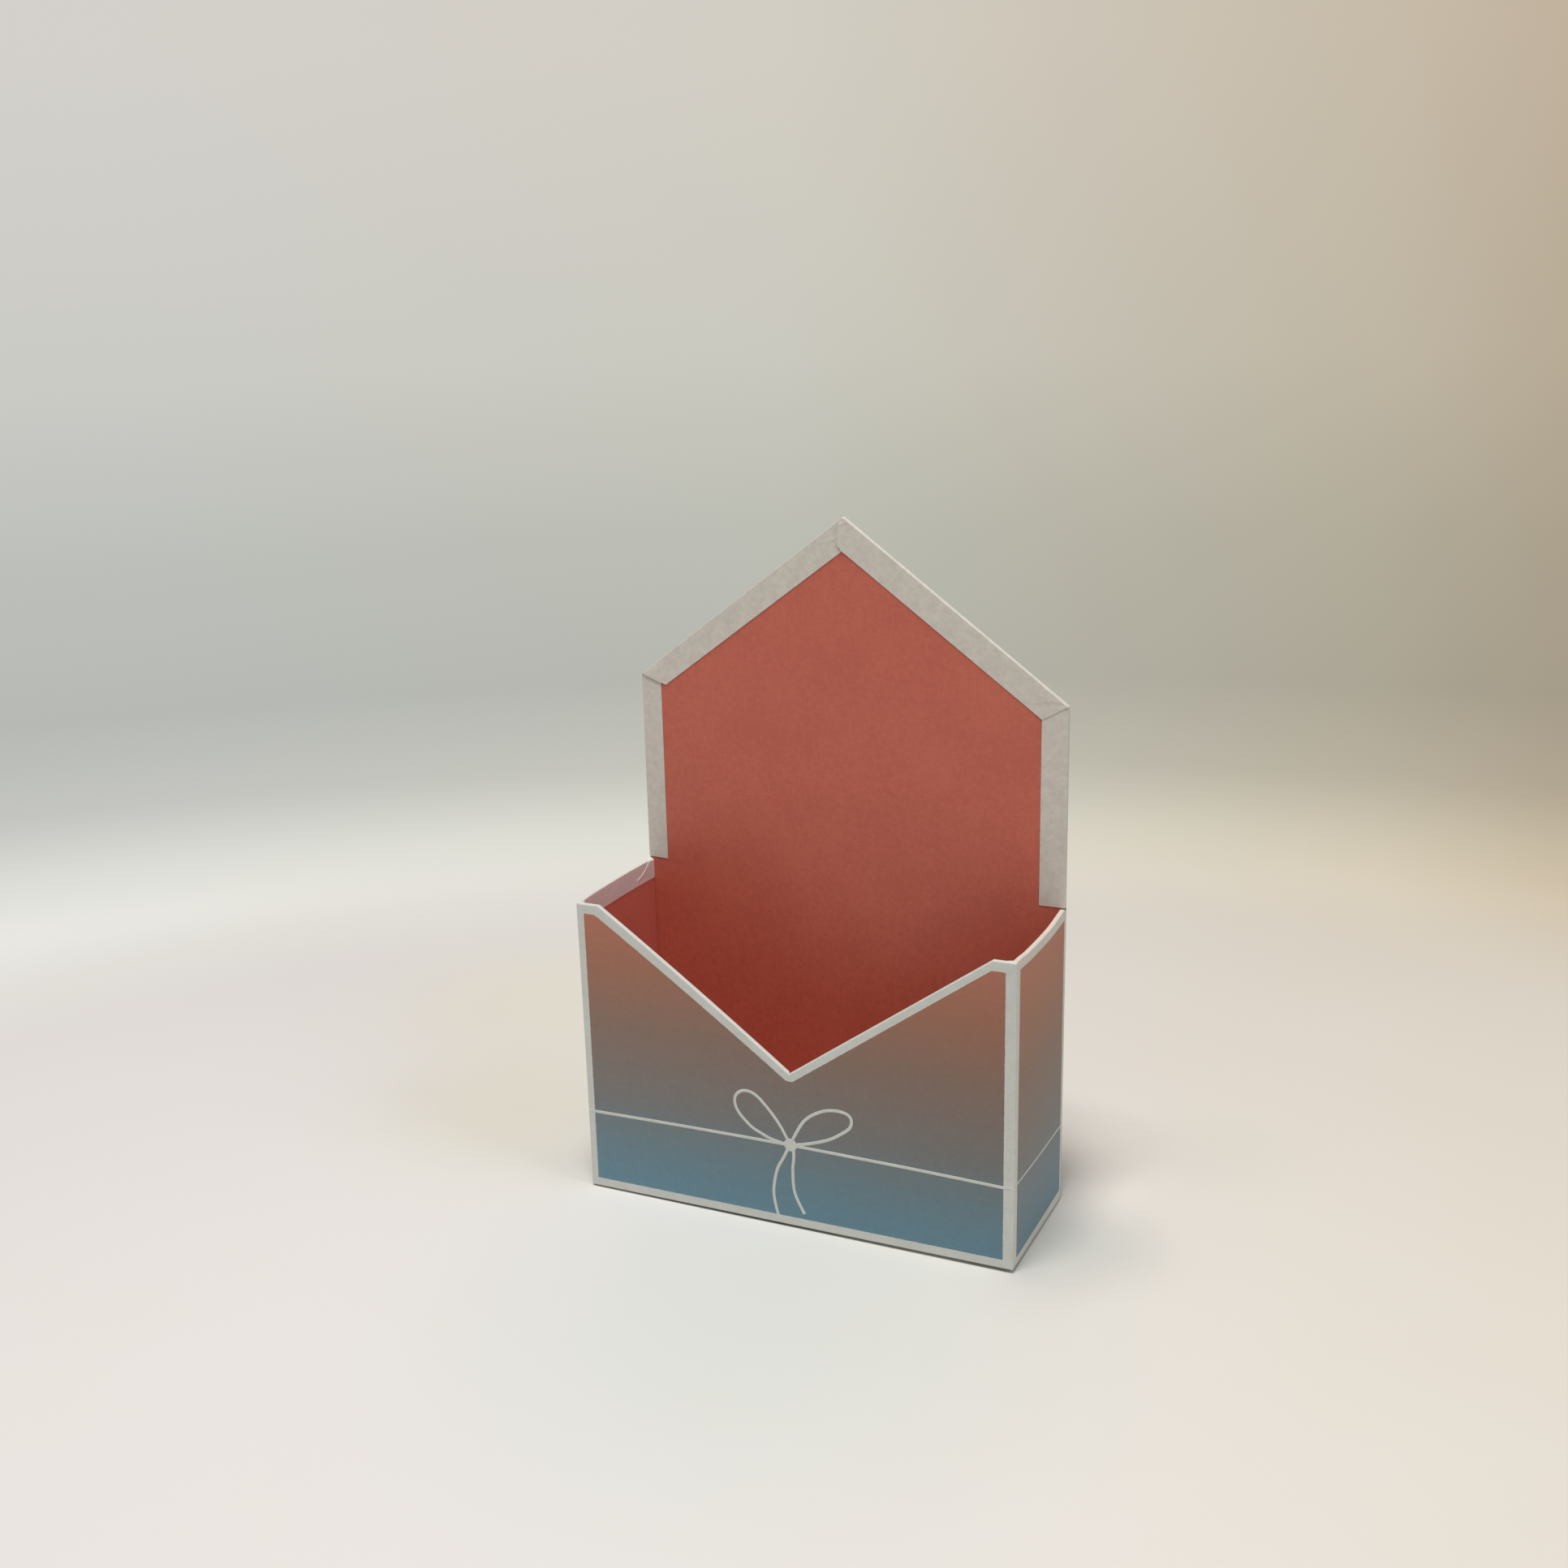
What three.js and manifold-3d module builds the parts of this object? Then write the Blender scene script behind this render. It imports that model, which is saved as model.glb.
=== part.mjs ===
// Envelope-shaped flower gift box: a rigid box of greyboard panels, taped at the corners, lined inside
// with red paper and covered outside with printed white paper that is folded over every free edge.
// The back is tall and ends in a gable, like an opened envelope flap, and the front is cut to a V.
//
// Millimetres, +Z up. The front faces -Y, left and right are as seen from the front, and the origin is
// in the middle of the underside.

import * as THREE from "three";
import { mergeVertices } from "three/addons/utils/BufferGeometryUtils.js";
import Module from "manifold-3d";

const wasm = await Module();
wasm.setup();

// Outside of the covered box
const WIDTH = 220;
const DEPTH = 75;
const WALL_HEIGHT = 149; // front and side walls
const SHOULDER_HEIGHT = 247; // where the back's upright edges end and the gable starts
const PEAK_HEIGHT = 329;
const NOTCH_HEIGHT = 78.5; // lowest point of the V in the front
const NOTCH_FLAT = 11; // level stretch of the front's top edge, at each end of the V
const SIDE_BOW = 1; // how far the middle of a side wall's top edge springs outwards

// Sheets
const BOARD = 1.5; // greyboard
const WRAP = 0.2; // printed outer paper
const LINING = 0.2; // red inner paper
const STAY = 0.15; // gummed kraft tape over the board corners
const GLUE = 0.05; // film between any two sheets

// Paper folded over an edge, measured from the outside of the fold
const LEFT_TURN_IN = 10.2; // back's left upright edge
const RIGHT_TURN_IN = 13.4; // back's right upright edge
const GABLE_TURN_IN = 12.2; // back's two sloping edges
const SIDE_TURN_IN = 9; // top edges of the side walls
const FRONT_TURN_IN = 12; // top edge of the front wall
const TURN_UNDER = 15; // on the underside
const BACK_TAB = 13; // glue tabs of the side paper, round the back corners
const SLIT = 1.2; // between a side wall's fold and the back's upright fold above it
const LEFT_MITRE = 13.4; // where a gable strip's cut end reaches its inner edge, in from the side
const RIGHT_MITRE = 12.3;

// Margins
const STAY_MARGIN = 1; // a stay leg ends this far short of the V
const GABLE_MARGIN = 2; // back lining to the board's sloping edges
const BASE_MARGIN = 3; // underside paper to the outside of the walls

// Facets of a bowed side sheet, along the wall and up it
const BOW_STEPS = 12;
const BOW_RISES = 8;

// Corners of a mesh that lie closer than this are one corner
const WELD = 0.0001;

const HALF_WIDTH = WIDTH / 2;
const HALF_DEPTH = DEPTH / 2;
const EDGE = WRAP + GLUE; // folded paper on a board's free edge

// The places of the sheets through a wall, measured inwards from its outer face. The back carries the
// glue tabs of the side paper as one more sheet.
function layersOf(extra) {
  const stayOut = WRAP + GLUE + extra;
  const boardOut = stayOut + STAY + GLUE;
  const boardIn = boardOut + BOARD;
  const liningOut = boardIn + GLUE;
  const liningIn = liningOut + LINING;
  const turnOut = liningIn + GLUE;
  const turnIn = turnOut + WRAP;
  return { stayOut, boardOut, boardIn, liningOut, liningIn, turnOut, turnIn };
}
const wall = layersOf(0);
const back = layersOf(WRAP + GLUE);

// Heights of the sheets in the floor, from the underside up
const UNDER_LOW = WRAP + GLUE;
const UNDER_HIGH = UNDER_LOW + WRAP;
const BOARDS_LOW = UNDER_HIGH + GLUE;
const FLOOR_BOARD_HIGH = BOARDS_LOW + BOARD;
const LININGS_LOW = FLOOR_BOARD_HIGH + GLUE;
const FLOOR_LINING_HIGH = LININGS_LOW + LINING;

// Slopes of the V and of the gable
const NOTCH_REACH = HALF_WIDTH - NOTCH_FLAT;
const NOTCH_ANGLE = Math.atan2(WALL_HEIGHT - NOTCH_HEIGHT, NOTCH_REACH);
const GABLE_ANGLE = Math.atan2(PEAK_HEIGHT - SHOULDER_HEIGHT, HALF_WIDTH);
const GABLE_SLOPE = Math.tan(GABLE_ANGLE);

// Faces across the box that the sheets end at
const FRONT_BOARD_IN = -HALF_DEPTH + wall.boardIn;
const FRONT_LINING_IN = -HALF_DEPTH + wall.liningIn;
const BACK_BOARD_IN = HALF_DEPTH - back.boardIn;
const BACK_LINING_IN = HALF_DEPTH - back.liningIn;
const TAB_OUT = HALF_DEPTH - WRAP - GLUE;

// Faces between which a side wall is free to bow
const BOW_NEAR = -HALF_DEPTH + wall.turnIn;
const BOW_FAR = BACK_LINING_IN - GLUE;

// Inner faces of the back's folded paper: the upright strips, and the ends of the gable strips that
// lap over them
const BACK_TURN_IN = HALF_DEPTH - back.turnIn;
const BACK_LAP_OUT = BACK_TURN_IN - GLUE;
const BACK_LAP_IN = BACK_LAP_OUT - WRAP;

// Finishes

function finish(color, roughness) {
  return new THREE.MeshStandardMaterial({ color, roughness, metalness: 0 });
}
const greyboard = () => finish(0x9b958a, 0.9);
const kraftTape = () => finish(0xb48f62, 0.8);
const redPaper = () => finish(0xb5443a, 0.75);
const printedPaper = () => finish(0x93827c, 0.6);
const whitePaper = () => finish(0xe9e7e1, 0.7);

// Outlines, in the plane of the front and back walls: across, then up

// Top edge of the front wall from left to right, with its level ends and its V, drawn in by inset
function notchPath(halfWidth, inset) {
  const top = WALL_HEIGHT - inset;
  const reach = NOTCH_REACH + inset * Math.tan(NOTCH_ANGLE / 2);
  const low = NOTCH_HEIGHT - inset / Math.cos(NOTCH_ANGLE);
  return [
    [-halfWidth, top],
    [-reach, top],
    [0, low],
    [reach, top],
    [halfWidth, top],
  ];
}

// Upright edges and gable of the back wall from left to right, from height foot up, with each of the
// left, right and gable edges drawn in by its own inset
function gablePath(foot, left, right, gable) {
  const peak = PEAK_HEIGHT - gable / Math.cos(GABLE_ANGLE);
  const leftEdge = HALF_WIDTH - left;
  const rightEdge = HALF_WIDTH - right;
  return [
    [-leftEdge, foot],
    [-leftEdge, peak - leftEdge * GABLE_SLOPE],
    [0, peak],
    [rightEdge, peak - rightEdge * GABLE_SLOPE],
    [rightEdge, foot],
  ];
}

function frontOutline(halfWidth, inset, foot) {
  return [[-halfWidth, foot], ...notchPath(halfWidth, inset), [halfWidth, foot]];
}

function band(outer, inner) {
  return [...outer, ...inner.reverse()];
}

// Solids

function shapeOf(points) {
  return new THREE.Shape(points.map(([across, up]) => new THREE.Vector2(across, up)));
}

// A sheet that stands facing front or back, its nearer face at y = near
function standing(points, near, far) {
  const depth = far - near;
  return new THREE.ExtrudeGeometry(shapeOf(points), { depth, bevelEnabled: false })
    .rotateX(Math.PI / 2)
    .translate(0, far, 0);
}

// A sheet that lies flat, from an outline seen from above
function lying(points, low, high) {
  const depth = high - low;
  return new THREE.ExtrudeGeometry(shapeOf(points), { depth, bevelEnabled: false }).translate(0, 0, low);
}

function rectangle(from, to, low, high) {
  const [left, right] = [from, to].sort((a, b) => a - b);
  return [
    [left, low],
    [right, low],
    [right, high],
    [left, high],
  ];
}

// How far a side wall has sprung outwards at a place: most in the middle of its top edge, and not at
// all at its foot and its corners
function bowAt(y, z) {
  const along = (2 * y - BOW_NEAR - BOW_FAR) / (BOW_FAR - BOW_NEAR);
  return SIDE_BOW * Math.max(0, 1 - along * along) * (z / WALL_HEIGHT);
}

// The places between two ends of a bowed sheet where its facets meet, which all its neighbours share
function stops(near, far, first, last, count) {
  const places = Array.from({ length: count + 1 }, (_, i) => first + ((last - first) * i) / count);
  return [near, ...places.filter((place) => place > near + WELD && place < far - WELD), far];
}

// A profile's points, given as inwards and up, with the shared facet heights added to its upright edges
function withHeights(profile) {
  return profile.flatMap(([inwards, up], i) => {
    const [nextInwards, nextUp] = profile[(i + 1) % profile.length];
    if (inwards !== nextInwards) {
      return [[inwards, up]];
    }
    const low = Math.min(up, nextUp);
    const heights = stops(low, Math.max(up, nextUp), 0, WALL_HEIGHT, BOW_RISES);
    const ordered = up === low ? heights : heights.reverse();
    return ordered.slice(0, -1).map((height) => [inwards, height]);
  });
}

// A sheet of a side wall, with the same profile all the way from near to far but for the wall's bow.
// side is -1 for the left wall and 1 for the right one.
function sideSheet(side, profile, near, far) {
  const places = stops(near, far, BOW_NEAR, BOW_FAR, BOW_STEPS);
  const steps = places.length - 1;
  const outline = withHeights(profile).map(([inwards, up]) => [-side * inwards, up]);
  const sheet = new THREE.ExtrudeGeometry(shapeOf(outline), { steps, depth: steps, bevelEnabled: false });
  const corner = sheet.getAttribute("position");
  for (let i = 0; i < corner.count; i++) {
    const y = places[steps - Math.round(corner.getZ(i))];
    const z = corner.getY(i);
    corner.setXYZ(i, corner.getX(i) + side * (HALF_WIDTH + bowAt(y, z)), y, z);
  }
  return sheet;
}

function upright(out, inn, low, high) {
  return [
    [out, low],
    [out, high],
    [inn, high],
    [inn, low],
  ];
}

function solidOf(geometry) {
  const bare = geometry.clone();
  bare.deleteAttribute("normal");
  bare.deleteAttribute("uv");
  const welded = mergeVertices(bare, WELD);
  const vertProperties = welded.getAttribute("position").array;
  const triVerts = new Uint32Array(welded.index.array);
  return new wasm.Manifold(new wasm.Mesh({ numProp: 3, vertProperties, triVerts }));
}

// One folded sheet of paper from its flat stretches
function folded(stretches) {
  const whole = stretches.map(solidOf).reduce((sum, next) => sum.add(next));
  const { vertProperties, triVerts } = whole.getMesh();
  const geometry = new THREE.BufferGeometry();
  geometry.setAttribute("position", new THREE.BufferAttribute(vertProperties, 3));
  geometry.setIndex(new THREE.BufferAttribute(triVerts, 1));
  geometry.computeVertexNormals();
  return geometry;
}

// Greyboard shell: the front and back stand across the full width, the sides butt between them, and
// the base sits inside all four.

function frontBoard() {
  const halfWidth = HALF_WIDTH - wall.boardOut;
  const outline = frontOutline(halfWidth, EDGE, BOARDS_LOW);
  return standing(outline, -HALF_DEPTH + wall.boardOut, FRONT_BOARD_IN);
}

function backBoard() {
  const ends = wall.boardOut;
  const outline = gablePath(BOARDS_LOW, ends, ends, EDGE);
  return standing(outline, BACK_BOARD_IN, HALF_DEPTH - back.boardOut);
}

function sideBoard(side) {
  const near = FRONT_BOARD_IN + GLUE;
  const far = BACK_BOARD_IN - GLUE;
  return sideSheet(side, upright(wall.boardOut, wall.boardIn, BOARDS_LOW, WALL_HEIGHT - EDGE), near, far);
}

function baseBoard() {
  const halfAcross = HALF_WIDTH - wall.boardIn - GLUE;
  const outline = rectangle(-halfAcross, halfAcross, FRONT_BOARD_IN + GLUE, BACK_BOARD_IN - GLUE);
  return lying(outline, BOARDS_LOW, FLOOR_BOARD_HIGH);
}

// Kraft tape folded round an upright board corner, under the printed paper. end is -1 at the front
// corner and 1 at the back one.
function cornerStay(side, end) {
  const leg = NOTCH_FLAT - STAY_MARGIN;
  const out = wall.stayOut;
  const facing = end < 0 ? wall.stayOut : back.stayOut;
  const face = end * (HALF_DEPTH - facing);
  const top = WALL_HEIGHT - EDGE;
  const corner = side * (HALF_WIDTH - out);
  const [near, far] = [face, face - end * STAY].sort((a, b) => a - b);
  const [from, to] = [face, face - end * leg].sort((a, b) => a - b);
  return folded([
    standing(rectangle(corner, corner - side * leg, BOARDS_LOW, top), near, far),
    sideSheet(side, upright(out, out + STAY, BOARDS_LOW, top), from, to),
  ]);
}

// Red lining: one sheet on each inner face, the back's running up under the folds of the gable

function frontLining() {
  const outline = frontOutline(HALF_WIDTH - wall.liningOut, EDGE, LININGS_LOW);
  return standing(outline, FRONT_BOARD_IN + GLUE, FRONT_LINING_IN);
}

function backLining() {
  const outline = gablePath(LININGS_LOW, wall.liningOut, wall.liningOut, EDGE + GABLE_MARGIN);
  return standing(outline, BACK_LINING_IN, BACK_BOARD_IN - GLUE);
}

function sideLining(side) {
  const near = FRONT_LINING_IN + GLUE;
  const far = BACK_LINING_IN - GLUE;
  return sideSheet(side, upright(wall.liningOut, wall.liningIn, LININGS_LOW, WALL_HEIGHT - EDGE), near, far);
}

function baseLining() {
  const halfAcross = HALF_WIDTH - wall.liningIn - GLUE;
  const outline = rectangle(-halfAcross, halfAcross, FRONT_LINING_IN + GLUE, BACK_LINING_IN - GLUE);
  return lying(outline, LININGS_LOW, FLOOR_LINING_HIGH);
}

// Printed paper over the front and both sides, in one sheet

// The front's turn-in beside the V. The sheet is slit down the middle of the V, so once it is folded
// over, its cut edge runs away from the lowest point of the V at twice the slope.
function frontTurnIn(side) {
  const lower = notchPath(HALF_WIDTH, FRONT_TURN_IN);
  const upper = notchPath(HALF_WIDTH, 0);
  const end = HALF_WIDTH - wall.turnOut;
  const slit = FRONT_TURN_IN / Math.cos(NOTCH_ANGLE);
  const points = [
    upper[2],
    upper[3],
    [end, upper[4][1]],
    [end, lower[4][1]],
    lower[3],
    [slit * Math.sin(2 * NOTCH_ANGLE), NOTCH_HEIGHT - slit * Math.cos(2 * NOTCH_ANGLE)],
  ];
  const sided = points.map(([across, up]) => [side * across, up]);
  return standing(sided, -HALF_DEPTH + wall.turnOut, -HALF_DEPTH + wall.turnIn);
}

function frontPaper() {
  const face = standing(frontOutline(HALF_WIDTH, 0, UNDER_LOW), -HALF_DEPTH, -HALF_DEPTH + WRAP);
  const overEdge = band(notchPath(HALF_WIDTH, 0), notchPath(HALF_WIDTH, WRAP));
  const fold = standing(overEdge, -HALF_DEPTH, -HALF_DEPTH + wall.turnIn);
  return [face, fold, frontTurnIn(-1), frontTurnIn(1)];
}

function sidePaper(side) {
  const top = WALL_HEIGHT;
  const turnNear = -HALF_DEPTH + wall.turnOut;
  const flat = upright(0, WRAP, UNDER_LOW, top);
  const overEdge = [
    [0, UNDER_LOW],
    [0, top],
    [wall.turnIn, top],
    [wall.turnIn, top - SIDE_TURN_IN],
    [wall.turnOut, top - SIDE_TURN_IN],
    [wall.turnOut, top - WRAP],
    [WRAP, top - WRAP],
    [WRAP, UNDER_LOW],
  ];
  const tab = rectangle(side * HALF_WIDTH, side * (HALF_WIDTH - BACK_TAB), BOARDS_LOW, top);
  return [
    sideSheet(side, flat, -HALF_DEPTH, turnNear),
    sideSheet(side, overEdge, turnNear, BOW_FAR),
    sideSheet(side, flat, BOW_FAR, TAB_OUT),
    standing(tab, TAB_OUT - WRAP, TAB_OUT),
  ];
}

// The paper folded under the front and sides, mitred at the corners
function underPaper() {
  const far = TAB_OUT;
  const outline = [
    [-HALF_WIDTH, far],
    [-HALF_WIDTH, -HALF_DEPTH],
    [HALF_WIDTH, -HALF_DEPTH],
    [HALF_WIDTH, far],
    [HALF_WIDTH - TURN_UNDER, far - TURN_UNDER],
    [HALF_WIDTH - TURN_UNDER, -HALF_DEPTH + TURN_UNDER],
    [-HALF_WIDTH + TURN_UNDER, -HALF_DEPTH + TURN_UNDER],
    [-HALF_WIDTH + TURN_UNDER, far - TURN_UNDER],
  ];
  return lying(outline, UNDER_LOW, UNDER_HIGH);
}

function printedWrap() {
  return folded([...frontPaper(), ...sidePaper(-1), ...sidePaper(1), underPaper()]);
}

// A stretch of a gable strip, from one distance off the middle to a nearer one, of the paper's whole
// width or only as thick as the fold itself. Beyond mitre, a strip is cut off along a line to the
// shoulder.
function gableStretch(side, from, to, breadth, mitre) {
  const edge = (across) => PEAK_HEIGHT - across * GABLE_SLOPE;
  const fall = breadth / Math.cos(GABLE_ANGLE);
  const cutSlope = (edge(mitre) - GABLE_TURN_IN / Math.cos(GABLE_ANGLE) - SHOULDER_HEIGHT) / (HALF_WIDTH - mitre);
  const cut = (across) => SHOULDER_HEIGHT + cutSlope * (HALF_WIDTH - across);
  const lower = (across) => Math.max(edge(across) - fall, cut(across));
  const corners = mitre < from - WELD && mitre > to + WELD ? [from, mitre, to] : [from, to];
  const points = [...corners.map((across) => [across, lower(across)]), [to, edge(to)]];
  if (edge(from) - lower(from) > WELD) {
    points.push([from, edge(from)]);
  }
  return points.map(([across, up]) => [side * across, up]);
}

// The back's folded paper on one side: an upright strip, and a gable strip whose lower end laps over it
function backTurnIn(side, turnIn, mitreIn) {
  const start = WALL_HEIGHT + SLIT;
  const edge = HALF_WIDTH - turnIn;
  const mitre = HALF_WIDTH - mitreIn;
  const rise = edge - GLUE;
  const strip = (from, to) => gableStretch(side, from, to, GABLE_TURN_IN, mitre);
  const under = PEAK_HEIGHT - EDGE / Math.cos(GABLE_ANGLE);
  const uprightStrip = [
    [side * HALF_WIDTH, start],
    [side * HALF_WIDTH, under - HALF_WIDTH * GABLE_SLOPE],
    [side * edge, under - edge * GABLE_SLOPE],
    [side * edge, start],
  ];
  const overEdge = gableStretch(side, HALF_WIDTH, rise - WRAP, WRAP, mitre);
  return [
    standing(uprightStrip, BACK_TURN_IN, HALF_DEPTH - back.turnOut),
    standing(strip(rise, 0), BACK_TURN_IN, HALF_DEPTH - back.turnOut),
    standing(strip(rise, rise - WRAP), BACK_LAP_IN, HALF_DEPTH - back.turnOut),
    standing(strip(HALF_WIDTH, rise - WRAP), BACK_LAP_IN, BACK_LAP_OUT),
    standing(overEdge, BACK_LAP_IN, HALF_DEPTH - WRAP),
  ];
}

// Paper over the back, folded forwards over its upright edges above the walls and over the gable, and
// under the base at its foot
function backWrap() {
  const start = WALL_HEIGHT + SLIT;
  const face = standing(gablePath(UNDER_LOW, 0, 0, 0), HALF_DEPTH - WRAP, HALF_DEPTH);
  const overEdge = band(gablePath(start, 0, 0, 0), gablePath(start, WRAP, WRAP, WRAP));
  const fold = standing(overEdge, BACK_TURN_IN, HALF_DEPTH);
  const foot = HALF_WIDTH - GLUE;
  const under = [
    [-foot, HALF_DEPTH],
    [-foot + TURN_UNDER, HALF_DEPTH - TURN_UNDER],
    [foot - TURN_UNDER, HALF_DEPTH - TURN_UNDER],
    [foot, HALF_DEPTH],
  ];
  return folded([
    face,
    fold,
    ...backTurnIn(-1, LEFT_TURN_IN, LEFT_MITRE),
    ...backTurnIn(1, RIGHT_TURN_IN, RIGHT_MITRE),
    lying(under, UNDER_LOW, UNDER_HIGH),
  ]);
}

function baseSheet() {
  const halfAcross = HALF_WIDTH - BASE_MARGIN;
  const reach = HALF_DEPTH - BASE_MARGIN;
  return lying(rectangle(-halfAcross, halfAcross, -reach, reach), 0, WRAP);
}

// Assembly

const box = new THREE.Group();

function add(name, geometry, material) {
  const piece = new THREE.Mesh(geometry, material);
  piece.name = name;
  box.add(piece);
}

const SIDES = { left: -1, right: 1 };
const ENDS = { front: -1, back: 1 };

add("front_board", frontBoard(), greyboard());
add("back_board", backBoard(), greyboard());
add("base_board", baseBoard(), greyboard());
add("front_lining", frontLining(), redPaper());
add("back_lining", backLining(), redPaper());
add("base_lining", baseLining(), redPaper());
for (const [sideName, side] of Object.entries(SIDES)) {
  add(`${sideName}_side_board`, sideBoard(side), greyboard());
  add(`${sideName}_side_lining`, sideLining(side), redPaper());
  for (const [endName, end] of Object.entries(ENDS)) {
    add(`corner_stay_${endName}_${sideName}`, cornerStay(side, end), kraftTape());
  }
}
add("printed_wrap", printedWrap(), printedPaper());
add("back_wrap", backWrap(), printedPaper());
add("base_sheet", baseSheet(), whitePaper());

export default box;
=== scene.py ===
"""Looks of an envelope-shaped flower gift box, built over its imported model.

A rigid greyboard box is covered outside with printed white paper, folded over every free edge, and
lined inside with red paper. Sizes are in millimetres in the box's own frame: +Z up, the front faces
-Y, and the origin is in the middle of the underside. Meshes are turned into metres when they are made.
"""

from __future__ import annotations

import logging
import math
from abc import ABC, abstractmethod
from collections.abc import Callable, Sequence
from dataclasses import KW_ONLY, dataclass, field, replace
from enum import Enum

import bmesh
import bpy
from mathutils import Matrix, Vector, noise


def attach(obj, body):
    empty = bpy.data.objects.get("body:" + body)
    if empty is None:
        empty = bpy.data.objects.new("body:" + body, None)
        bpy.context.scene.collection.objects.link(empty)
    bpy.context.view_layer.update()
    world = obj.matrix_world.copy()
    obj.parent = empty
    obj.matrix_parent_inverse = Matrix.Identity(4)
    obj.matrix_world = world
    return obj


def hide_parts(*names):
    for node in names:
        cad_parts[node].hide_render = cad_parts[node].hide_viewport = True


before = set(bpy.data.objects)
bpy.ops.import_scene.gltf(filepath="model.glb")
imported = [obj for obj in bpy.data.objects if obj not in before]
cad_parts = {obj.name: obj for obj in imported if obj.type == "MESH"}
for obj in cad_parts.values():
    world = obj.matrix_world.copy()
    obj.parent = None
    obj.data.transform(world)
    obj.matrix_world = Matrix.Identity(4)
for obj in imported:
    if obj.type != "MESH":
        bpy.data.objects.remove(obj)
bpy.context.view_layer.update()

log = logging.getLogger("gift_box")

MM = 0.001
POINT_GAP = 1e-5  # in millimetres, as are the next two: corners closer than this are one corner
CUT_SNAP = 1e-4
WELD = 2e-4
SHEET_MAP = "sheet"
MOTTLE_SIZE = 2.4
MOTTLE_ROUGHNESS = 0.65
SHELL_WELD = 1e-7  # in metres, for finished meshes
BODY = "root"
SIDES = {"left": -1, "right": 1}

Colour = tuple[float, float, float]
Point = tuple[float, float]
Stop = tuple[float, Colour]
Field = Callable[[Vector], Vector]


def srgb(red: int, green: int, blue: int) -> Colour:
    """Turns screen values into the linear colour that a shader takes.

    Args:
        red: Red, from 0 to 255.
        green: Green, from 0 to 255.
        blue: Blue, from 0 to 255.

    Returns:
        The linear colour.
    """
    shares = (value / 255 for value in (red, green, blue))
    return tuple(s / 12.92 if s <= 0.04045 else ((s + 0.055) / 1.055) ** 2.4 for s in shares)


@dataclass(frozen=True)
class Ease:
    """A soft step along one measure, 0 up to its start and 1 from its end on. It may run downwards."""

    start: float
    end: float

    def at(self, value: float) -> float:
        """Reads the step.

        Args:
            value: Where to read it.

        Returns:
            A share from 0 to 1.
        """
        share = min(1.0, max(0.0, (value - self.start) / (self.end - self.start)))
        return share * share * (3 - 2 * share)


@dataclass(frozen=True)
class Waves:
    """Soft waves of glued paper, which only ever stand off its board."""

    height: float
    scale: tuple[float, float, float]
    start: float = 0.0
    lift: float = 0.0

    def at(self, place: Vector) -> float:
        """Gives how far the paper stands off.

        Args:
            place: A place on the sheet.

        Returns:
            The distance.
        """
        across, along, up = (part * scale for part, scale in zip(place, self.scale))
        return self.height * max(0.0, noise.noise(Vector((across, along + self.start, up))) + self.lift)


class Panel(Enum):
    """The stretch of a covering sheet that a face belongs to, which is also its material's index."""

    PLAIN = 0
    FRONT = 1
    SIDE = 2
    BACK = 3
    # The turn-ins take a white with painted red bounce light.
    TURNED = 4
    # The folds over the side walls' top edges take materials with a painted highlight.
    FOLD_LEFT = 5
    FOLD_RIGHT = 6


class Cut(Enum):
    """What the top of a printed panel is cut to."""

    LEVEL = "level"
    NOTCH = "notch"
    GABLE = "gable"


# Nodes


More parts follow.
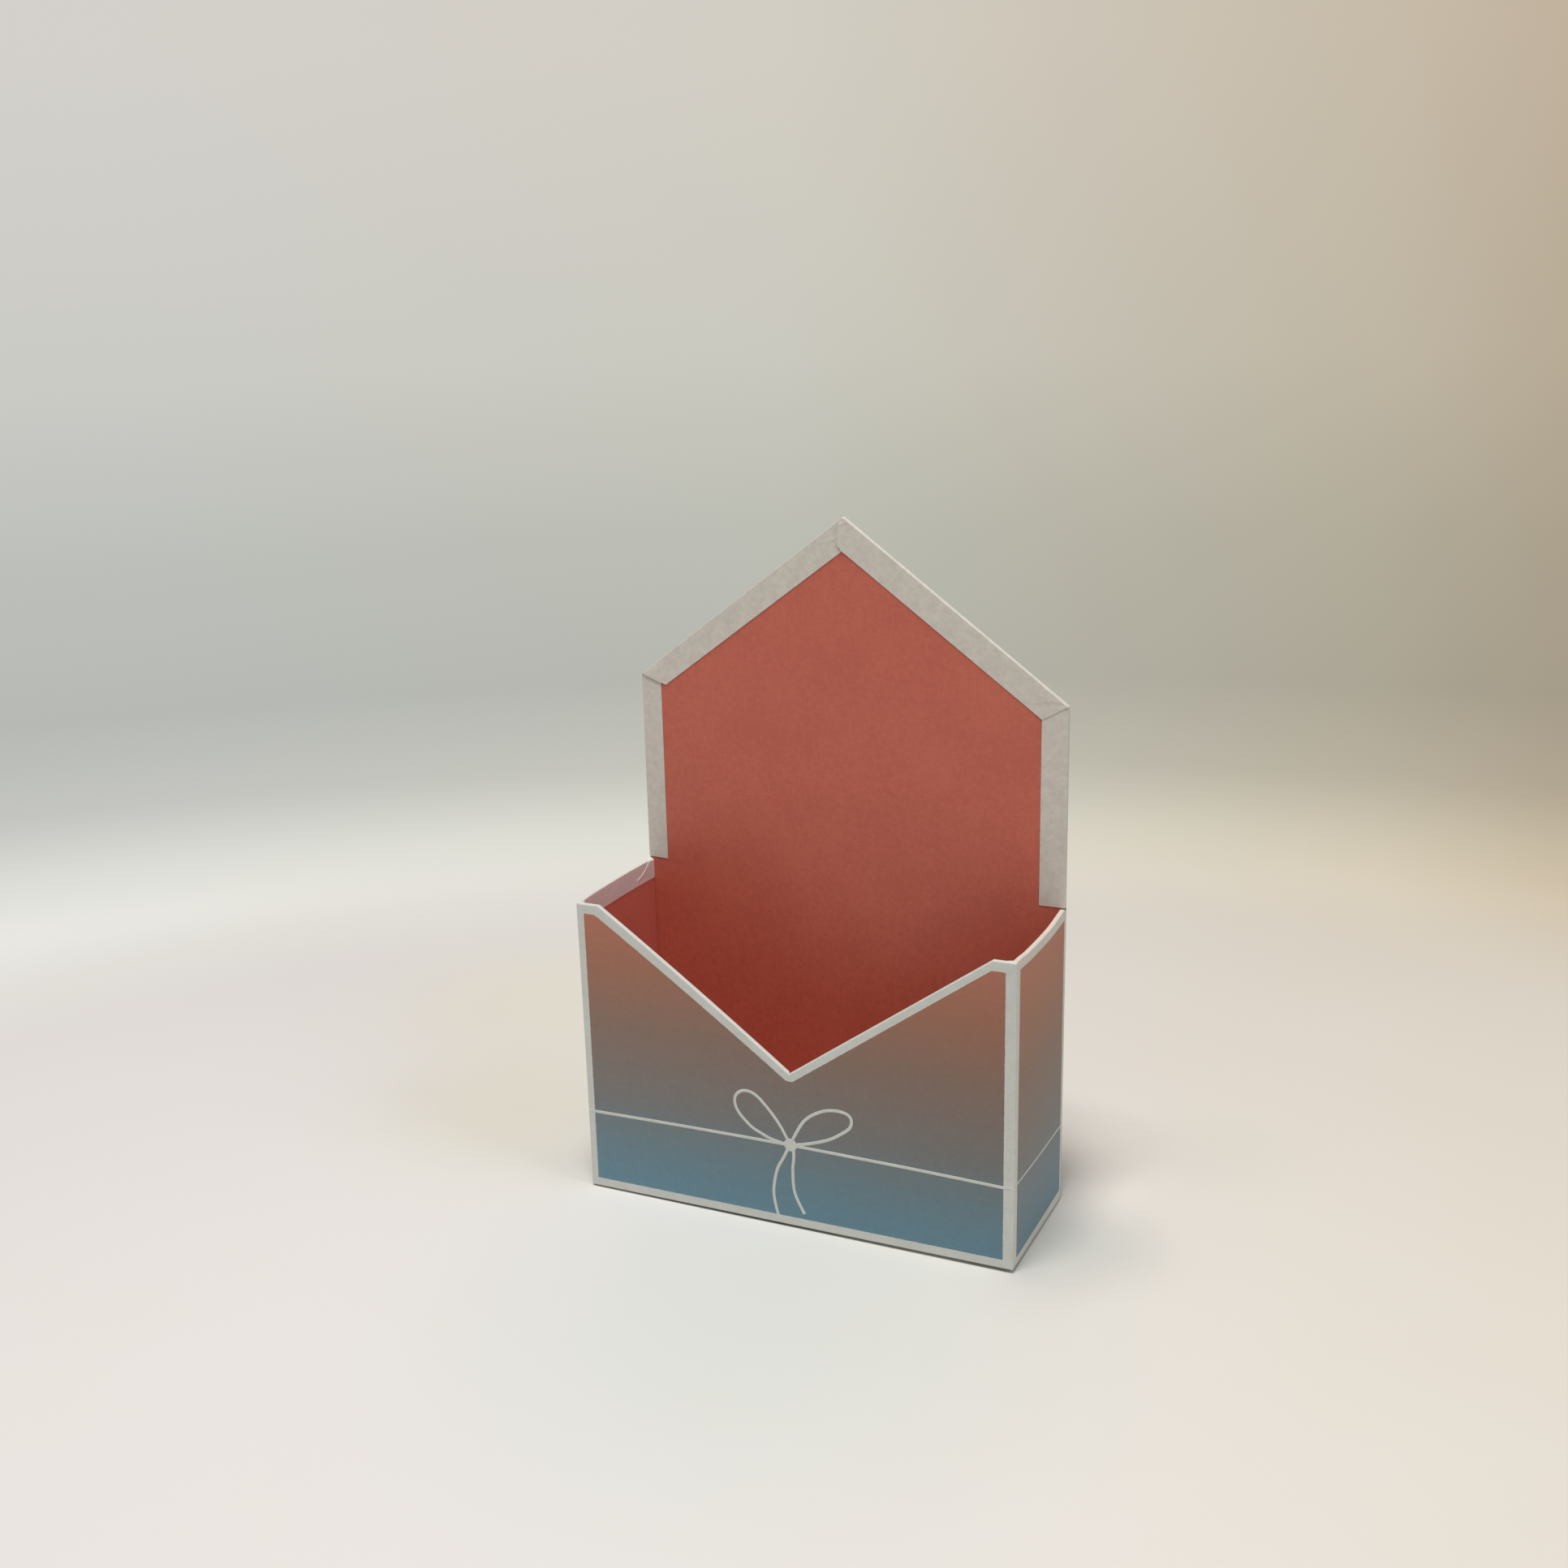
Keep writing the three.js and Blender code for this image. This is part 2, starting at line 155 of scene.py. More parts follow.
class Nodes:
    """Adds nodes to one node tree, for a shader or for geometry."""

    def __init__(self, tree: bpy.types.NodeTree) -> None:
        """Keeps the tree.

        Args:
            tree: The tree that every node is added to.
        """
        self.tree = tree

    @classmethod
    def of(cls, holder: bpy.types.Material | bpy.types.World) -> Nodes:
        """Empties the node tree of a material or a world.

        Args:
            holder: What has the tree.

        Returns:
            What adds nodes to it.
        """
        holder.use_nodes = True
        holder.node_tree.nodes.clear()
        return cls(holder.node_tree)

    def add(self, kind: str, settings: dict | None = None, inputs: dict | None = None) -> bpy.types.Node:
        """Adds one node.

        Args:
            kind: The node's type.
            settings: Its properties, and for a ramp its stops as (place, colour) pairs.
            inputs: Values or links of its sockets, by name or number.

        Returns:
            The new node.
        """
        node = self.tree.nodes.new(kind)
        for name, value in (settings or {}).items():
            if name == "stops":
                self._set_stops(node.color_ramp.elements, value)
            else:
                setattr(node, name, value)
        for name, value in (inputs or {}).items():
            self.feed(node.inputs[name], value)
        return node

    def _set_stops(self, elements: bpy.types.ColorRampElements, stops: Sequence[Stop]) -> None:
        """Gives a ramp its stops.

        Args:
            elements: The ramp's elements.
            stops: Places and colours, from low to high.
        """
        while len(elements) < len(stops):
            elements.new(1.0)
        for element, (place, colour) in zip(elements, stops):
            element.position = place
            element.color = (*colour, 1.0)

    def feed(self, socket: bpy.types.NodeSocket, value: object) -> None:
        """Links or sets one input.

        Args:
            socket: The input.
            value: A Value or a socket to link, or a plain value to set.
        """
        source = value.socket if isinstance(value, Value) else value
        if isinstance(source, bpy.types.NodeSocket):
            self.tree.links.new(source, socket)
        elif socket.type == "RGBA" and len(source) == 3:
            socket.default_value = (*source, 1.0)
        else:
            socket.default_value = source

    def math(self, operation: str, *terms: object) -> Value:
        """Adds a Math node.

        Args:
            operation: The Math node's operation.
            *terms: Its one to three inputs.

        Returns:
            The result.
        """
        node = self.add("ShaderNodeMath", {"operation": operation}, dict(enumerate(terms)))
        return Value(self, node.outputs[0])

    def vector(self, operation: str, *terms: object) -> bpy.types.NodeSocket:
        """Adds a Vector Math node.

        Args:
            operation: The node's operation.
            *terms: Its vector inputs.

        Returns:
            The output, a number for DOT_PRODUCT and otherwise a vector.
        """
        node = self.add("ShaderNodeVectorMath", {"operation": operation}, dict(enumerate(terms)))
        return node.outputs["Value" if operation == "DOT_PRODUCT" else "Vector"]

    def scaled(self, vector: object, factor: object) -> bpy.types.NodeSocket:
        """Multiplies a vector by a number.

        Args:
            vector: The vector.
            factor: The number.

        Returns:
            The vector output.
        """
        inputs = {"Vector": vector, "Scale": factor}
        return self.add("ShaderNodeVectorMath", {"operation": "SCALE"}, inputs).outputs["Vector"]

    def mix(
        self, factor: object, first: object, second: object, blend: str = "MIX"
    ) -> bpy.types.NodeSocket:
        """Mixes two colours.

        Args:
            factor: 0 for the first, 1 for the second.
            first: A colour.
            second: A colour.
            blend: How the second acts on the first.

        Returns:
            The mixed colour.
        """
        settings = {"data_type": "RGBA", "blend_type": blend}
        return self.add("ShaderNodeMix", settings, {0: factor, 6: first, 7: second}).outputs[2]

    def ramp(self, stops: Sequence[Stop], value: object) -> bpy.types.NodeSocket:
        """Reads a ramp of colours at a value."""
        return self.add("ShaderNodeValToRGB", {"stops": stops}, {0: value}).outputs[0]

    def split(self, vector: object) -> tuple[Value, Value, Value]:
        """Splits a vector.

        Args:
            vector: The vector.

        Returns:
            Its three parts.
        """
        node = self.add("ShaderNodeSeparateXYZ", None, {0: vector})
        return tuple(Value(self, output) for output in node.outputs)

    def grain(self, vector: object, size: float, detail: float = 2.0, rough: float = 0.5) -> Value:
        """Adds soft noise with spots of one size.

        Args:
            vector: The coordinates, in metres.
            size: The spots' size in millimetres.
            detail: How many finer layers it has.
            rough: How strong they are.

        Returns:
            A number about 0.5.
        """
        inputs = {"Vector": vector, "Scale": 1 / (size * MM), "Detail": detail, "Roughness": rough}
        return Value(self, self.add("ShaderNodeTexNoise", None, inputs).outputs[0])

    def mottle(self, vector: object) -> Value:
        """Adds the fine blotches that all the papers have."""
        return self.grain(vector, MOTTLE_SIZE, rough=MOTTLE_ROUGHNESS)


class Value:
    """A number from a node, which takes part in Python expressions."""

    def __init__(self, nodes: Nodes, socket: bpy.types.NodeSocket) -> None:
        """Wraps a socket.

        Args:
            nodes: What adds nodes to the socket's tree.
            socket: The output that gives the number.
        """
        self.nodes = nodes
        self.socket = socket

    def __add__(self, other: object) -> Value:
        """Adds."""
        return self.nodes.math("ADD", self, other)

    def __radd__(self, other: object) -> Value:
        """Adds to a plain number."""
        return self.nodes.math("ADD", other, self)

    def __sub__(self, other: object) -> Value:
        """Takes away."""
        return self.nodes.math("SUBTRACT", self, other)

    def __rsub__(self, other: object) -> Value:
        """Takes this away from a plain number."""
        return self.nodes.math("SUBTRACT", other, self)

    def __mul__(self, other: object) -> Value:
        """Multiplies."""
        return self.nodes.math("MULTIPLY", self, other)

    def __rmul__(self, other: object) -> Value:
        """Multiplies a plain number."""
        return self.nodes.math("MULTIPLY", other, self)

    def __truediv__(self, other: object) -> Value:
        """Divides."""
        return self.nodes.math("DIVIDE", self, other)

    def __rtruediv__(self, other: object) -> Value:
        """Divides a plain number."""
        return self.nodes.math("DIVIDE", other, self)

    def size(self) -> Value:
        """Drops the sign."""
        return self.nodes.math("ABSOLUTE", self)

    def least(self, other: object, blend: float = 0.0) -> Value:
        """Takes the smaller.

        Args:
            other: What it is compared with.
            blend: How far apart the two may be and still be rounded together.

        Returns:
            The smaller number.
        """
        if blend:
            return self.nodes.math("SMOOTH_MIN", self, other, blend)
        return self.nodes.math("MINIMUM", self, other)

    def most(self, other: object) -> Value:
        """Takes the larger."""
        return self.nodes.math("MAXIMUM", self, other)

    def share(self) -> Value:
        """Clamps to between 0 and 1."""
        return self.least(1.0).most(0.0)

    def step(self, low: float, high: float) -> Value:
        """Eases from 0 at low to 1 at high.

        Args:
            low: Where the step begins.
            high: Where it ends.

        Returns:
            A share from 0 to 1.
        """
        settings = {"interpolation_type": "SMOOTHSTEP"}
        inputs = {"Value": self, "From Min": low, "From Max": high}
        return Value(self.nodes, self.nodes.add("ShaderNodeMapRange", settings, inputs).outputs[0])


# Finishes


@dataclass(frozen=True)
class Paper(ABC):
    """A sheet material. Sizes are in millimetres."""

    name: str
    _: KW_ONLY
    smoothest: float = 0.6
    roughest: float = 0.76
    shine: float = 0.35

    @abstractmethod
    def colour(self, nodes: Nodes, place: bpy.types.NodeSocket, fleck: Value) -> bpy.types.NodeSocket:
        """Gives the colour of a point.

        Args:
            nodes: What adds nodes.
            place: The point, in metres.
            fleck: Fine noise about 0.5, which the relief follows too.

        Returns:
            The colour.
        """

    @abstractmethod
    def relief(self) -> tuple[float, float]:
        """Gives the size of the surface's grain and its height."""

    def material(self) -> bpy.types.Material:
        """Makes the material.

        Returns:
            The material, with its nodes.
        """
        material = bpy.data.materials.new(self.name)
        nodes = Nodes.of(material)
        place = nodes.add("ShaderNodeTexCoord").outputs["Object"]
        grain, height = self.relief()
        fleck = nodes.grain(place, grain, detail=3.0, rough=0.6)
        inputs = {"Height": fleck, "Strength": 1.0, "Distance": height * MM}
        bump = nodes.add("ShaderNodeBump", None, inputs)
        inputs = {
            "Base Color": self.colour(nodes, place, fleck),
            "Roughness": self.smoothest + (self.roughest - self.smoothest) * fleck,
            "Specular IOR Level": self.shine,
            "Normal": bump.outputs["Normal"],
        }
        shader = nodes.add("ShaderNodeBsdfPrincipled", None, inputs)
        nodes.add("ShaderNodeOutputMaterial", None, {"Surface": shader.outputs[0]})
        return material


@dataclass(frozen=True)
class PlainPaper(Paper):
    """Paper or board of one colour, with soft clouds and fine flecks in it."""

    light: Colour
    dark: Colour
    cloud: float = 14.0
    grain: float = 0.45
    height: float = 0.012
    clouding: float = 1.6
    flecking: float = 1.4
    mottle: float = 2.3
    thread: float = 0.0
    thread_stretch: float = 0.1

    def relief(self) -> tuple[float, float]:
        """Gives the size of the surface's grain and its height."""
        return self.grain, self.height

    def colour(self, nodes: Nodes, place: bpy.types.NodeSocket, fleck: Value) -> bpy.types.NodeSocket:
        """Mixes the two tones by clouds and flecks.

        Args:
            nodes: What adds nodes.
            place: The point, in metres.
            fleck: Fine noise about 0.5.

        Returns:
            The colour.
        """
        cloud = nodes.grain(place, self.cloud, detail=3.0)
        tone = (cloud - 0.5) * self.clouding + (fleck - 0.5) * self.flecking
        tone = tone + (nodes.mottle(place) - 0.5) * self.mottle + 0.5
        if self.thread:
            level = (self.thread_stretch, self.thread_stretch, 1.0)
            for scale in (level, (1.0, 1.0, self.thread_stretch)):
                inputs = {"Vector": place, "Scale": scale}
                turned = nodes.add("ShaderNodeMapping", None, inputs).outputs[0]
                tone = tone + (nodes.grain(turned, self.grain) - 0.5) * self.thread
        return nodes.mix(tone.share(), self.dark, self.light)


@dataclass(frozen=True)
class PrintEdges:
    """Where the print of one panel stops, in the panel's own millimetres, across and then up."""

    left: float
    right: float
    bottom: float
    top: float
    bottom_rise: float = 0.0
    cut: Cut = Cut.LEVEL
    cut_border: float = 4.0
    cut_tapers: tuple[float, float] = (0.0, 0.0)
    tip: float = 0.0


@dataclass(frozen=True)
class PrintLayout:
    """The print's edges on each panel. The back's runs up to its gable."""

    front: PrintEdges = PrintEdges(
        left=-106.3,
        right=105.1,
        bottom=4.7,
        top=144.2,
        cut=Cut.NOTCH,
        cut_tapers=(0.0105, -0.0034),
        tip=74.8,
    )
    side: PrintEdges = PrintEdges(left=-32.5, right=34.7, bottom=4.2, top=144.4, bottom_rise=0.02)
    back: PrintEdges = PrintEdges(
        left=-105.5, right=105.5, bottom=4.8, top=400.0, cut=Cut.GABLE, cut_border=4.5
    )


@dataclass(frozen=True)
class PrintedPaper(Paper):
    """White paper printed with a colour that changes with height, inside white borders."""

    paper: PlainPaper
    edges: PrintEdges
    stops: tuple[Stop, ...]
    _: KW_ONLY
    smoothest: float = 0.5
    roughest: float = 0.64
    corner: float = 0.7
    fade: float = 0.16
    stray: float = 0.45
    edge_grain: float = 0.9
    # Painted shade: how much darker the ink grows from the panel's left end to its right end.
    painted_shade_to_right: float = 0.0
    reach: float = 1.0
    patch: float = 5.0
    patch_shift: float = 0.035
    mottle: float = 0.17
    fleck: float = 0.1
    wear: float = 0.55
    wear_from: float = 0.62

    def relief(self) -> tuple[float, float]:
        """Gives the size of the surface's grain and its height."""
        return self.paper.relief()

    def colour(self, nodes: Nodes, place: bpy.types.NodeSocket, fleck: Value) -> bpy.types.NodeSocket:
        """Lays the print over the white paper.

        Args:
            nodes: What adds nodes.
            place: The point, in metres.
            fleck: Fine noise about 0.5.

        Returns:
            The colour.
        """
        sheet = nodes.add("ShaderNodeUVMap", {"uv_map": SHEET_MAP}).outputs[0]
        across, up, _ = nodes.split(nodes.scaled(sheet, 1 / MM))
        white = self.paper.colour(nodes, place, fleck)
        patchy = nodes.grain(place, self.patch, detail=4.0, rough=0.6)
        height = up / (SIZES.wall_height * self.reach) + (patchy - 0.5) * (self.patch_shift / self.reach)
        ink = nodes.ramp(self.stops, height)
        strength = 1.0 + (nodes.mottle(place) - 0.5) * self.mottle + (fleck - 0.5) * self.fleck
        # Painted shade: the ink darkens evenly towards the panel's right end, standing in for light that
        # falls off to the right.
        ink = nodes.scaled(ink, strength - (across / SIZES.half_width + 1.0) * (self.painted_shade_to_right / 2))
        worn = nodes.mix(((fleck - self.wear_from) * self.wear).share(), ink, white)
        return nodes.mix(self._printed(nodes, place, across, up), white, worn)

    def _printed(self, nodes: Nodes, place: bpy.types.NodeSocket, across: Value, up: Value) -> Value:
        """Gives how much of a point is printed.

        Args:
            nodes: What adds nodes.
            place: The point, in metres.
            across: The place across the panel.
            up: The place up the panel.

        Returns:
            1 in the print, 0 in the borders.
        """
        edges = self.edges
        foot = up - edges.bottom - (across - edges.left) * edges.bottom_rise
        inside = (across - edges.left).least(edges.right - across, self.corner)
        inside = inside.least(foot, self.corner).least(edges.top - up, self.corner)
        if edges.cut is Cut.NOTCH:
            below = SIZES.notch_height + across.size() * SIZES.notch_slope - up
            below = below * math.cos(SIZES.notch_angle)
            left, right = edges.cut_tapers
            border = edges.cut_border + (0.0 - across).most(0.0) * left + across.most(0.0) * right
            inside = inside.least((below - border).most(edges.tip - up), self.corner)
        if edges.cut is Cut.GABLE:
            below = (SIZES.peak_height - across.size() * SIZES.gable_slope - up) * SIZES.gable_cosine
            inside = inside.least(below - edges.cut_border, self.corner)
        rough_edge = (nodes.grain(place, self.edge_grain, detail=2.0) - 0.5) * self.stray
        return ((inside + rough_edge) / self.fade + 0.5).share()


@dataclass(frozen=True)
class Palette:
    """The box's finishes."""

    white: PlainPaper = PlainPaper("covering_white", srgb(215, 217, 212), srgb(207, 209, 203))
    folded: PlainPaper = PlainPaper("folded_white", srgb(218, 212, 203), srgb(205, 199, 190), cloud=7.0)
    red: PlainPaper = PlainPaper(
        "lining_red",
        srgb(201, 102, 80),
        srgb(192, 93, 72),
        cloud=30.0,
        grain=0.6,
        height=0.01,
        smoothest=0.5,
        roughest=0.62,
        shine=0.75,
        thread=0.9,
    )
    # Painted light: a lighter copy of the red lining for the side walls, for the light that reaches the
    # left wall from the right; its higher shine is a real gloss.
    red_side_lit: PlainPaper = replace(
        red, name="lining_red_sides_painted_light", light=srgb(212, 112, 94), dark=srgb(203, 103, 86), shine=1.0
    )
    # Painted light: a warmer copy of the covering white for the side walls, for the light that falls on
    # the sides.
    white_side_lit: PlainPaper = replace(
        white, name="covering_white_side_painted_light", light=srgb(217, 215, 208), dark=srgb(209, 207, 199)
    )
    # Painted highlight: lighter copies of the covering white for the folds over the left and the right
    # wall's top edges, where light catches them; the right one is warmer.
    fold_left_highlight: PlainPaper = PlainPaper("fold_white_left_painted_highlight", srgb(229, 222, 216), srgb(222, 215, 209))
    fold_right_highlight: PlainPaper = PlainPaper("fold_white_right_painted_highlight", srgb(222, 209, 198), srgb(214, 201, 190))
    # Painted highlight: a brighter white for the wrinkles' lit ridges.
    ridge_highlight: PlainPaper = PlainPaper("ridge_white_painted_highlight", srgb(246, 234, 230), srgb(240, 226, 221))
    # Painted reflected light: the turn-ins' white is tinted pink for the red light that the lining
    # bounces onto them.
    turned: PlainPaper = PlainPaper(
        "turned_in_white_painted_bounce", srgb(230, 210, 208), srgb(222, 201, 199), cloud=6.0
    )
    board: PlainPaper = PlainPaper(
        "greyboard", srgb(160, 154, 142), srgb(132, 126, 116), cloud=4.0, grain=0.35, height=0.05
    )
    tape: PlainPaper = PlainPaper("kraft", srgb(186, 150, 104), srgb(164, 128, 84), cloud=6.0, grain=0.4)
    under: PlainPaper = PlainPaper(
        "underside_white", srgb(220, 217, 208), srgb(206, 202, 192), cloud=10.0
    )
    front_stops: tuple[Stop, ...] = (
        (0.00, srgb(104, 144, 164)),
        (0.17, srgb(112, 138, 149)),
        (0.34, srgb(127, 127, 126)),
        (0.60, srgb(144, 119, 106)),
        (0.80, srgb(167, 116, 94)),
        (1.00, srgb(189, 121, 98)),
    )
    # Painted sheen: the sides' ink is paler and greyer against its borders than the front's, for the
    # print's sheen seen at a low angle.
    side_stops_with_sheen: tuple[Stop, ...] = (
        (0.00, srgb(106, 139, 155)),
        (0.17, srgb(116, 134, 143)),
        (0.34, srgb(128, 126, 124)),
        (0.60, srgb(144, 118, 105)),
        (0.80, srgb(167, 117, 95)),
        (1.00, srgb(187, 121, 98)),
    )
    back_stops: tuple[Stop, ...] = (
        (0.00, srgb(106, 139, 155)),
        (0.08, srgb(116, 134, 143)),
        (0.16, srgb(128, 126, 124)),
        (0.26, srgb(140, 119, 109)),
        (0.36, srgb(158, 117, 99)),
        (0.47, srgb(175, 118, 96)),
        (0.60, srgb(185, 119, 96)),
        (0.78, srgb(189, 121, 97)),
    )
    # Painted shade across the front's print, darker towards the right.
    front_painted_shade_to_right: float = 0.1

    def printed(self) -> list[PrintedPaper]:
        """Gives the printed papers.

        Returns:
            The front's, the sides' and the back's.
        """
        layout, whole = PrintLayout(), SIZES.peak_height / SIZES.wall_height
        return [
            PrintedPaper(
                "printed_front", self.white, layout.front, self.front_stops, painted_shade_to_right=self.front_painted_shade_to_right
            ),
            PrintedPaper("printed_side_painted_light", self.white_side_lit, layout.side, self.side_stops_with_sheen),
            PrintedPaper("printed_back", self.white, layout.back, self.back_stops, reach=whole),
        ]


# Sizes


@dataclass(frozen=True)
class BoxSizes:
    """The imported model's own sizes that the papers follow."""

    half_width: float = 110.0
    half_depth: float = 37.5
    wall_height: float = 149.0
    shoulder_height: float = 247.0
    peak_height: float = 329.0
    notch_height: float = 78.5
    notch_reach: float = 99.0
    side_bow: float = 1.0
    bow_near: float = -35.05
    bow_far: float = 35.0
    foot: float = 0.25
    lining_foot: float = 2.05
    fold_start: float = 150.2

    @property
    def notch_slope(self) -> float:
        """Rise of the V's arms."""
        return (self.wall_height - self.notch_height) / self.notch_reach

    @property
    def notch_angle(self) -> float:
        """Angle of the V's arms to the level."""
        return math.atan(self.notch_slope)

    @property
    def gable_slope(self) -> float:
        """Fall of the gable's edges."""
        return (self.peak_height - self.shoulder_height) / self.half_width

    @property
    def gable_cosine(self) -> float:
        """Width of a strip along the gable's edges, as a share of its height."""
        return math.cos(math.atan(self.gable_slope))

    def bow_at(self, y: float, z: float) -> float:
        """Gives how far a side wall has sprung outwards at a place.

        Args:
            y: The place from front to back.
            z: The height.

        Returns:
            The distance.
        """
        along = (2 * y - self.bow_near - self.bow_far) / (self.bow_far - self.bow_near)
        return self.side_bow * max(0.0, 1 - along * along) * max(0.0, z) / self.wall_height


SIZES = BoxSizes()


# Sheets


def inset_path(path: Sequence[Point], inset: float) -> list[Point]:
    """Draws a path in to its right-hand side, with mitred corners.

    Args:
        path: Corners, across and then up.
        inset: How far it is drawn in.

    Returns:
        The new corners. The two ends move straight away from the path.
    """
    moved = []
    for i, corner in enumerate(path):
        here = Vector(corner)
        ways = []
        if i > 0:
            ways.append((here - Vector(path[i - 1])).normalized())
        if i < len(path) - 1:
            ways.append((Vector(path[i + 1]) - here).normalized())
        rights = [Vector((way.y, -way.x)) for way in ways]
        mean = sum(rights, Vector((0, 0))).normalized()
        moved.append(tuple(here + mean * (inset / mean.dot(rights[0]))))
    return moved


def quarter_turn(steps: int) -> list[float]:
    """Gives the angles of a fold's facets, from 0 to a right angle."""
    return [math.pi / 2 * i / steps for i in range(steps + 1)]


def apart(corners: Sequence[Sequence[float]]) -> list[Sequence[float]]:
    """Leaves out each corner that lies on the one before it."""
    pairs = zip(corners, [corners[-1], *corners])
    return [corner for corner, last in pairs if (Vector(corner) - Vector(last)).length > POINT_GAP]


def edge_profile(radius: float, depth: float, steps: int) -> list[Point]:
    """Gives the section of paper folded over a free edge.

    Args:
        radius: The radius of its two folds.
        depth: From the outer face to the folded paper's own face.
        steps: Facets in each fold.

    Returns:
        Points as (distance below the edge, depth), from the outer face to the folded paper.
    """
    turns = quarter_turn(steps)
    outer = [(radius * (1 - math.sin(t)), radius * (1 - math.cos(t))) for t in turns]
    inner = [(radius * (1 - math.cos(t)), depth - radius + radius * math.sin(t)) for t in turns]
    return outer + inner


class SheetMesh:
    """One sheet of paper, put together from flat stretches, in millimetres."""

    def __init__(self, name: str) -> None:
        """Starts an empty sheet.

        Args:
            name: The piece's name.
        """
        self.name = name
        self.bm = bmesh.new()
        self.panel = self.bm.faces.layers.int.new("panel")

    def face(self, corners: Sequence[Sequence[float]], panel: Panel = Panel.PLAIN) -> None:
        """Adds a flat stretch.

        Args:
            corners: Its corners in order.
            panel: What it belongs to.
        """
        made = self.bm.faces.new([self.bm.verts.new(corner) for corner in corners])
        made[self.panel] = panel.value

    def ribbon(self, lines: Sequence[Sequence[Sequence[float]]], panel: Panel = Panel.PLAIN) -> None:
        """Adds the faces between lines that have as many points each.

        Args:
            lines: Lines of points, side by side.
            panel: What the faces belong to.
        """
        for first, second in zip(lines, lines[1:]):
            for i in range(len(first) - 1):
                corners = apart([first[i], first[i + 1], second[i + 1], second[i]])
                if len(corners) > 2:
                    self.face(corners, panel)

    def join(self) -> None:
        """Joins the stretches at their shared corners."""
        bmesh.ops.remove_doubles(self.bm, verts=self.bm.verts, dist=WELD)

    def cut(self, axis: int, places: Sequence[float]) -> None:
        """Cuts every face along planes across an axis, so that the sheet can bend there.

        Args:
            axis: 0, 1 or 2.
            places: Where the planes stand.
        """
        normal = Vector([float(i == axis) for i in range(3)])
        for place in places:
            geometry = [*self.bm.verts, *self.bm.edges, *self.bm.faces]
            plane = {"plane_co": normal * place, "plane_no": normal}
            bmesh.ops.bisect_plane(self.bm, geom=geometry, dist=CUT_SNAP, **plane)

    def turn_out(self, outwards: Vector, panel: Panel) -> None:
        """Makes all faces agree, so that one panel faces outwards.

        Args:
            outwards: The way that the panel faces.
            panel: The panel.
        """
        bmesh.ops.recalc_face_normals(self.bm, faces=self.bm.faces)
        faces = [face for face in self.bm.faces if face[self.panel] == panel.value]
        facing = sum(face.normal.dot(outwards) * face.calc_area() for face in faces)
        if facing < 0:
            bmesh.ops.reverse_faces(self.bm, faces=self.bm.faces)

    def lay_out(self) -> None:
        """Writes each point's place on its unfolded panel, across and then up, before it is bent."""
        sheet = self.bm.loops.layers.uv.new(SHEET_MAP)
        for face in self.bm.faces:
            aside = face[self.panel] == Panel.SIDE.value
            for loop in face.loops:
                corner = loop.vert.co
                loop[sheet].uv = ((corner.y if aside else corner.x) * MM, corner.z * MM)

    def bend(self, field: Field) -> None:
        """Moves every point.

        Args:
            field: Gives a point's shift from its place.
        """
        for vert in self.bm.verts:
            vert.co += field(vert.co.copy())

    def finish(self, thickness: float, materials: Sequence[bpy.types.Material]) -> bpy.types.Object:
        """Gives the paper its thickness, inwards, and makes the object.

        Args:
            thickness: The paper's thickness.
            materials: The panels' materials, in order. The last one does for the rest.

        Returns:
            The object, in metres.
        """
        for face in self.bm.faces:
            face.material_index = min(face[self.panel], len(materials) - 1)
            face.smooth = True
        self.bm.faces.layers.int.remove(self.panel)
        self.bm.transform(Matrix.Scale(MM, 4))
        mesh = bpy.data.meshes.new(self.name)
        self.bm.to_mesh(mesh)
        self.bm.free()
        for material in materials:
            mesh.materials.append(material)
        piece = add_object(self.name, mesh)
        shell = piece.modifiers.new("thickness", "SOLIDIFY")
        shell.thickness = thickness * MM
        shell.offset = -1.0
        settle(piece)
        crease(piece)
        return piece


def add_object(name: str, data: bpy.types.ID) -> bpy.types.Object:
    """Makes an object and puts it in the scene.

    Args:
        name: Its name.
        data: Its mesh, curve, lamp or camera.

    Returns:
        The object.
    """
    made = bpy.data.objects.new(name, data)
    bpy.context.scene.collection.objects.link(made)
    return made


def evaluated(piece: bpy.types.Object) -> bpy.types.Mesh:
    """Copies a piece's mesh as its modifiers leave it.

    Args:
        piece: The piece, a mesh or a curve.

    Returns:
        A new mesh.
    """
    bpy.context.view_layer.update()
    shown = piece.evaluated_get(bpy.context.evaluated_depsgraph_get())
    return bpy.data.meshes.new_from_object(shown)


def settle(piece: bpy.types.Object) -> None:
    """Turns a piece's modifiers into plain mesh.

    Args:
        piece: The piece.
    """
    made = evaluated(piece)
    piece.modifiers.clear()
    old, piece.data = piece.data, made
    made.name = piece.name
    bpy.data.meshes.remove(old)


def crease(piece: bpy.types.Object, angle: float = 50.0) -> None:
    """Shades a piece smooth but for its sharp edges, and keeps its flat faces flat up to their folds.

    Args:
        piece: The piece.
        angle: The least angle of a sharp edge, in degrees.
    """
    bm = bmesh.new()
    bm.from_mesh(piece.data)
    for edge in bm.edges:
        edge.smooth = not edge.is_manifold or edge.calc_face_angle() < math.radians(angle)
    bm.to_mesh(piece.data)
    bm.free()
    weighted = piece.modifiers.new("flat_faces", "WEIGHTED_NORMAL")
    weighted.keep_sharp = True
    settle(piece)


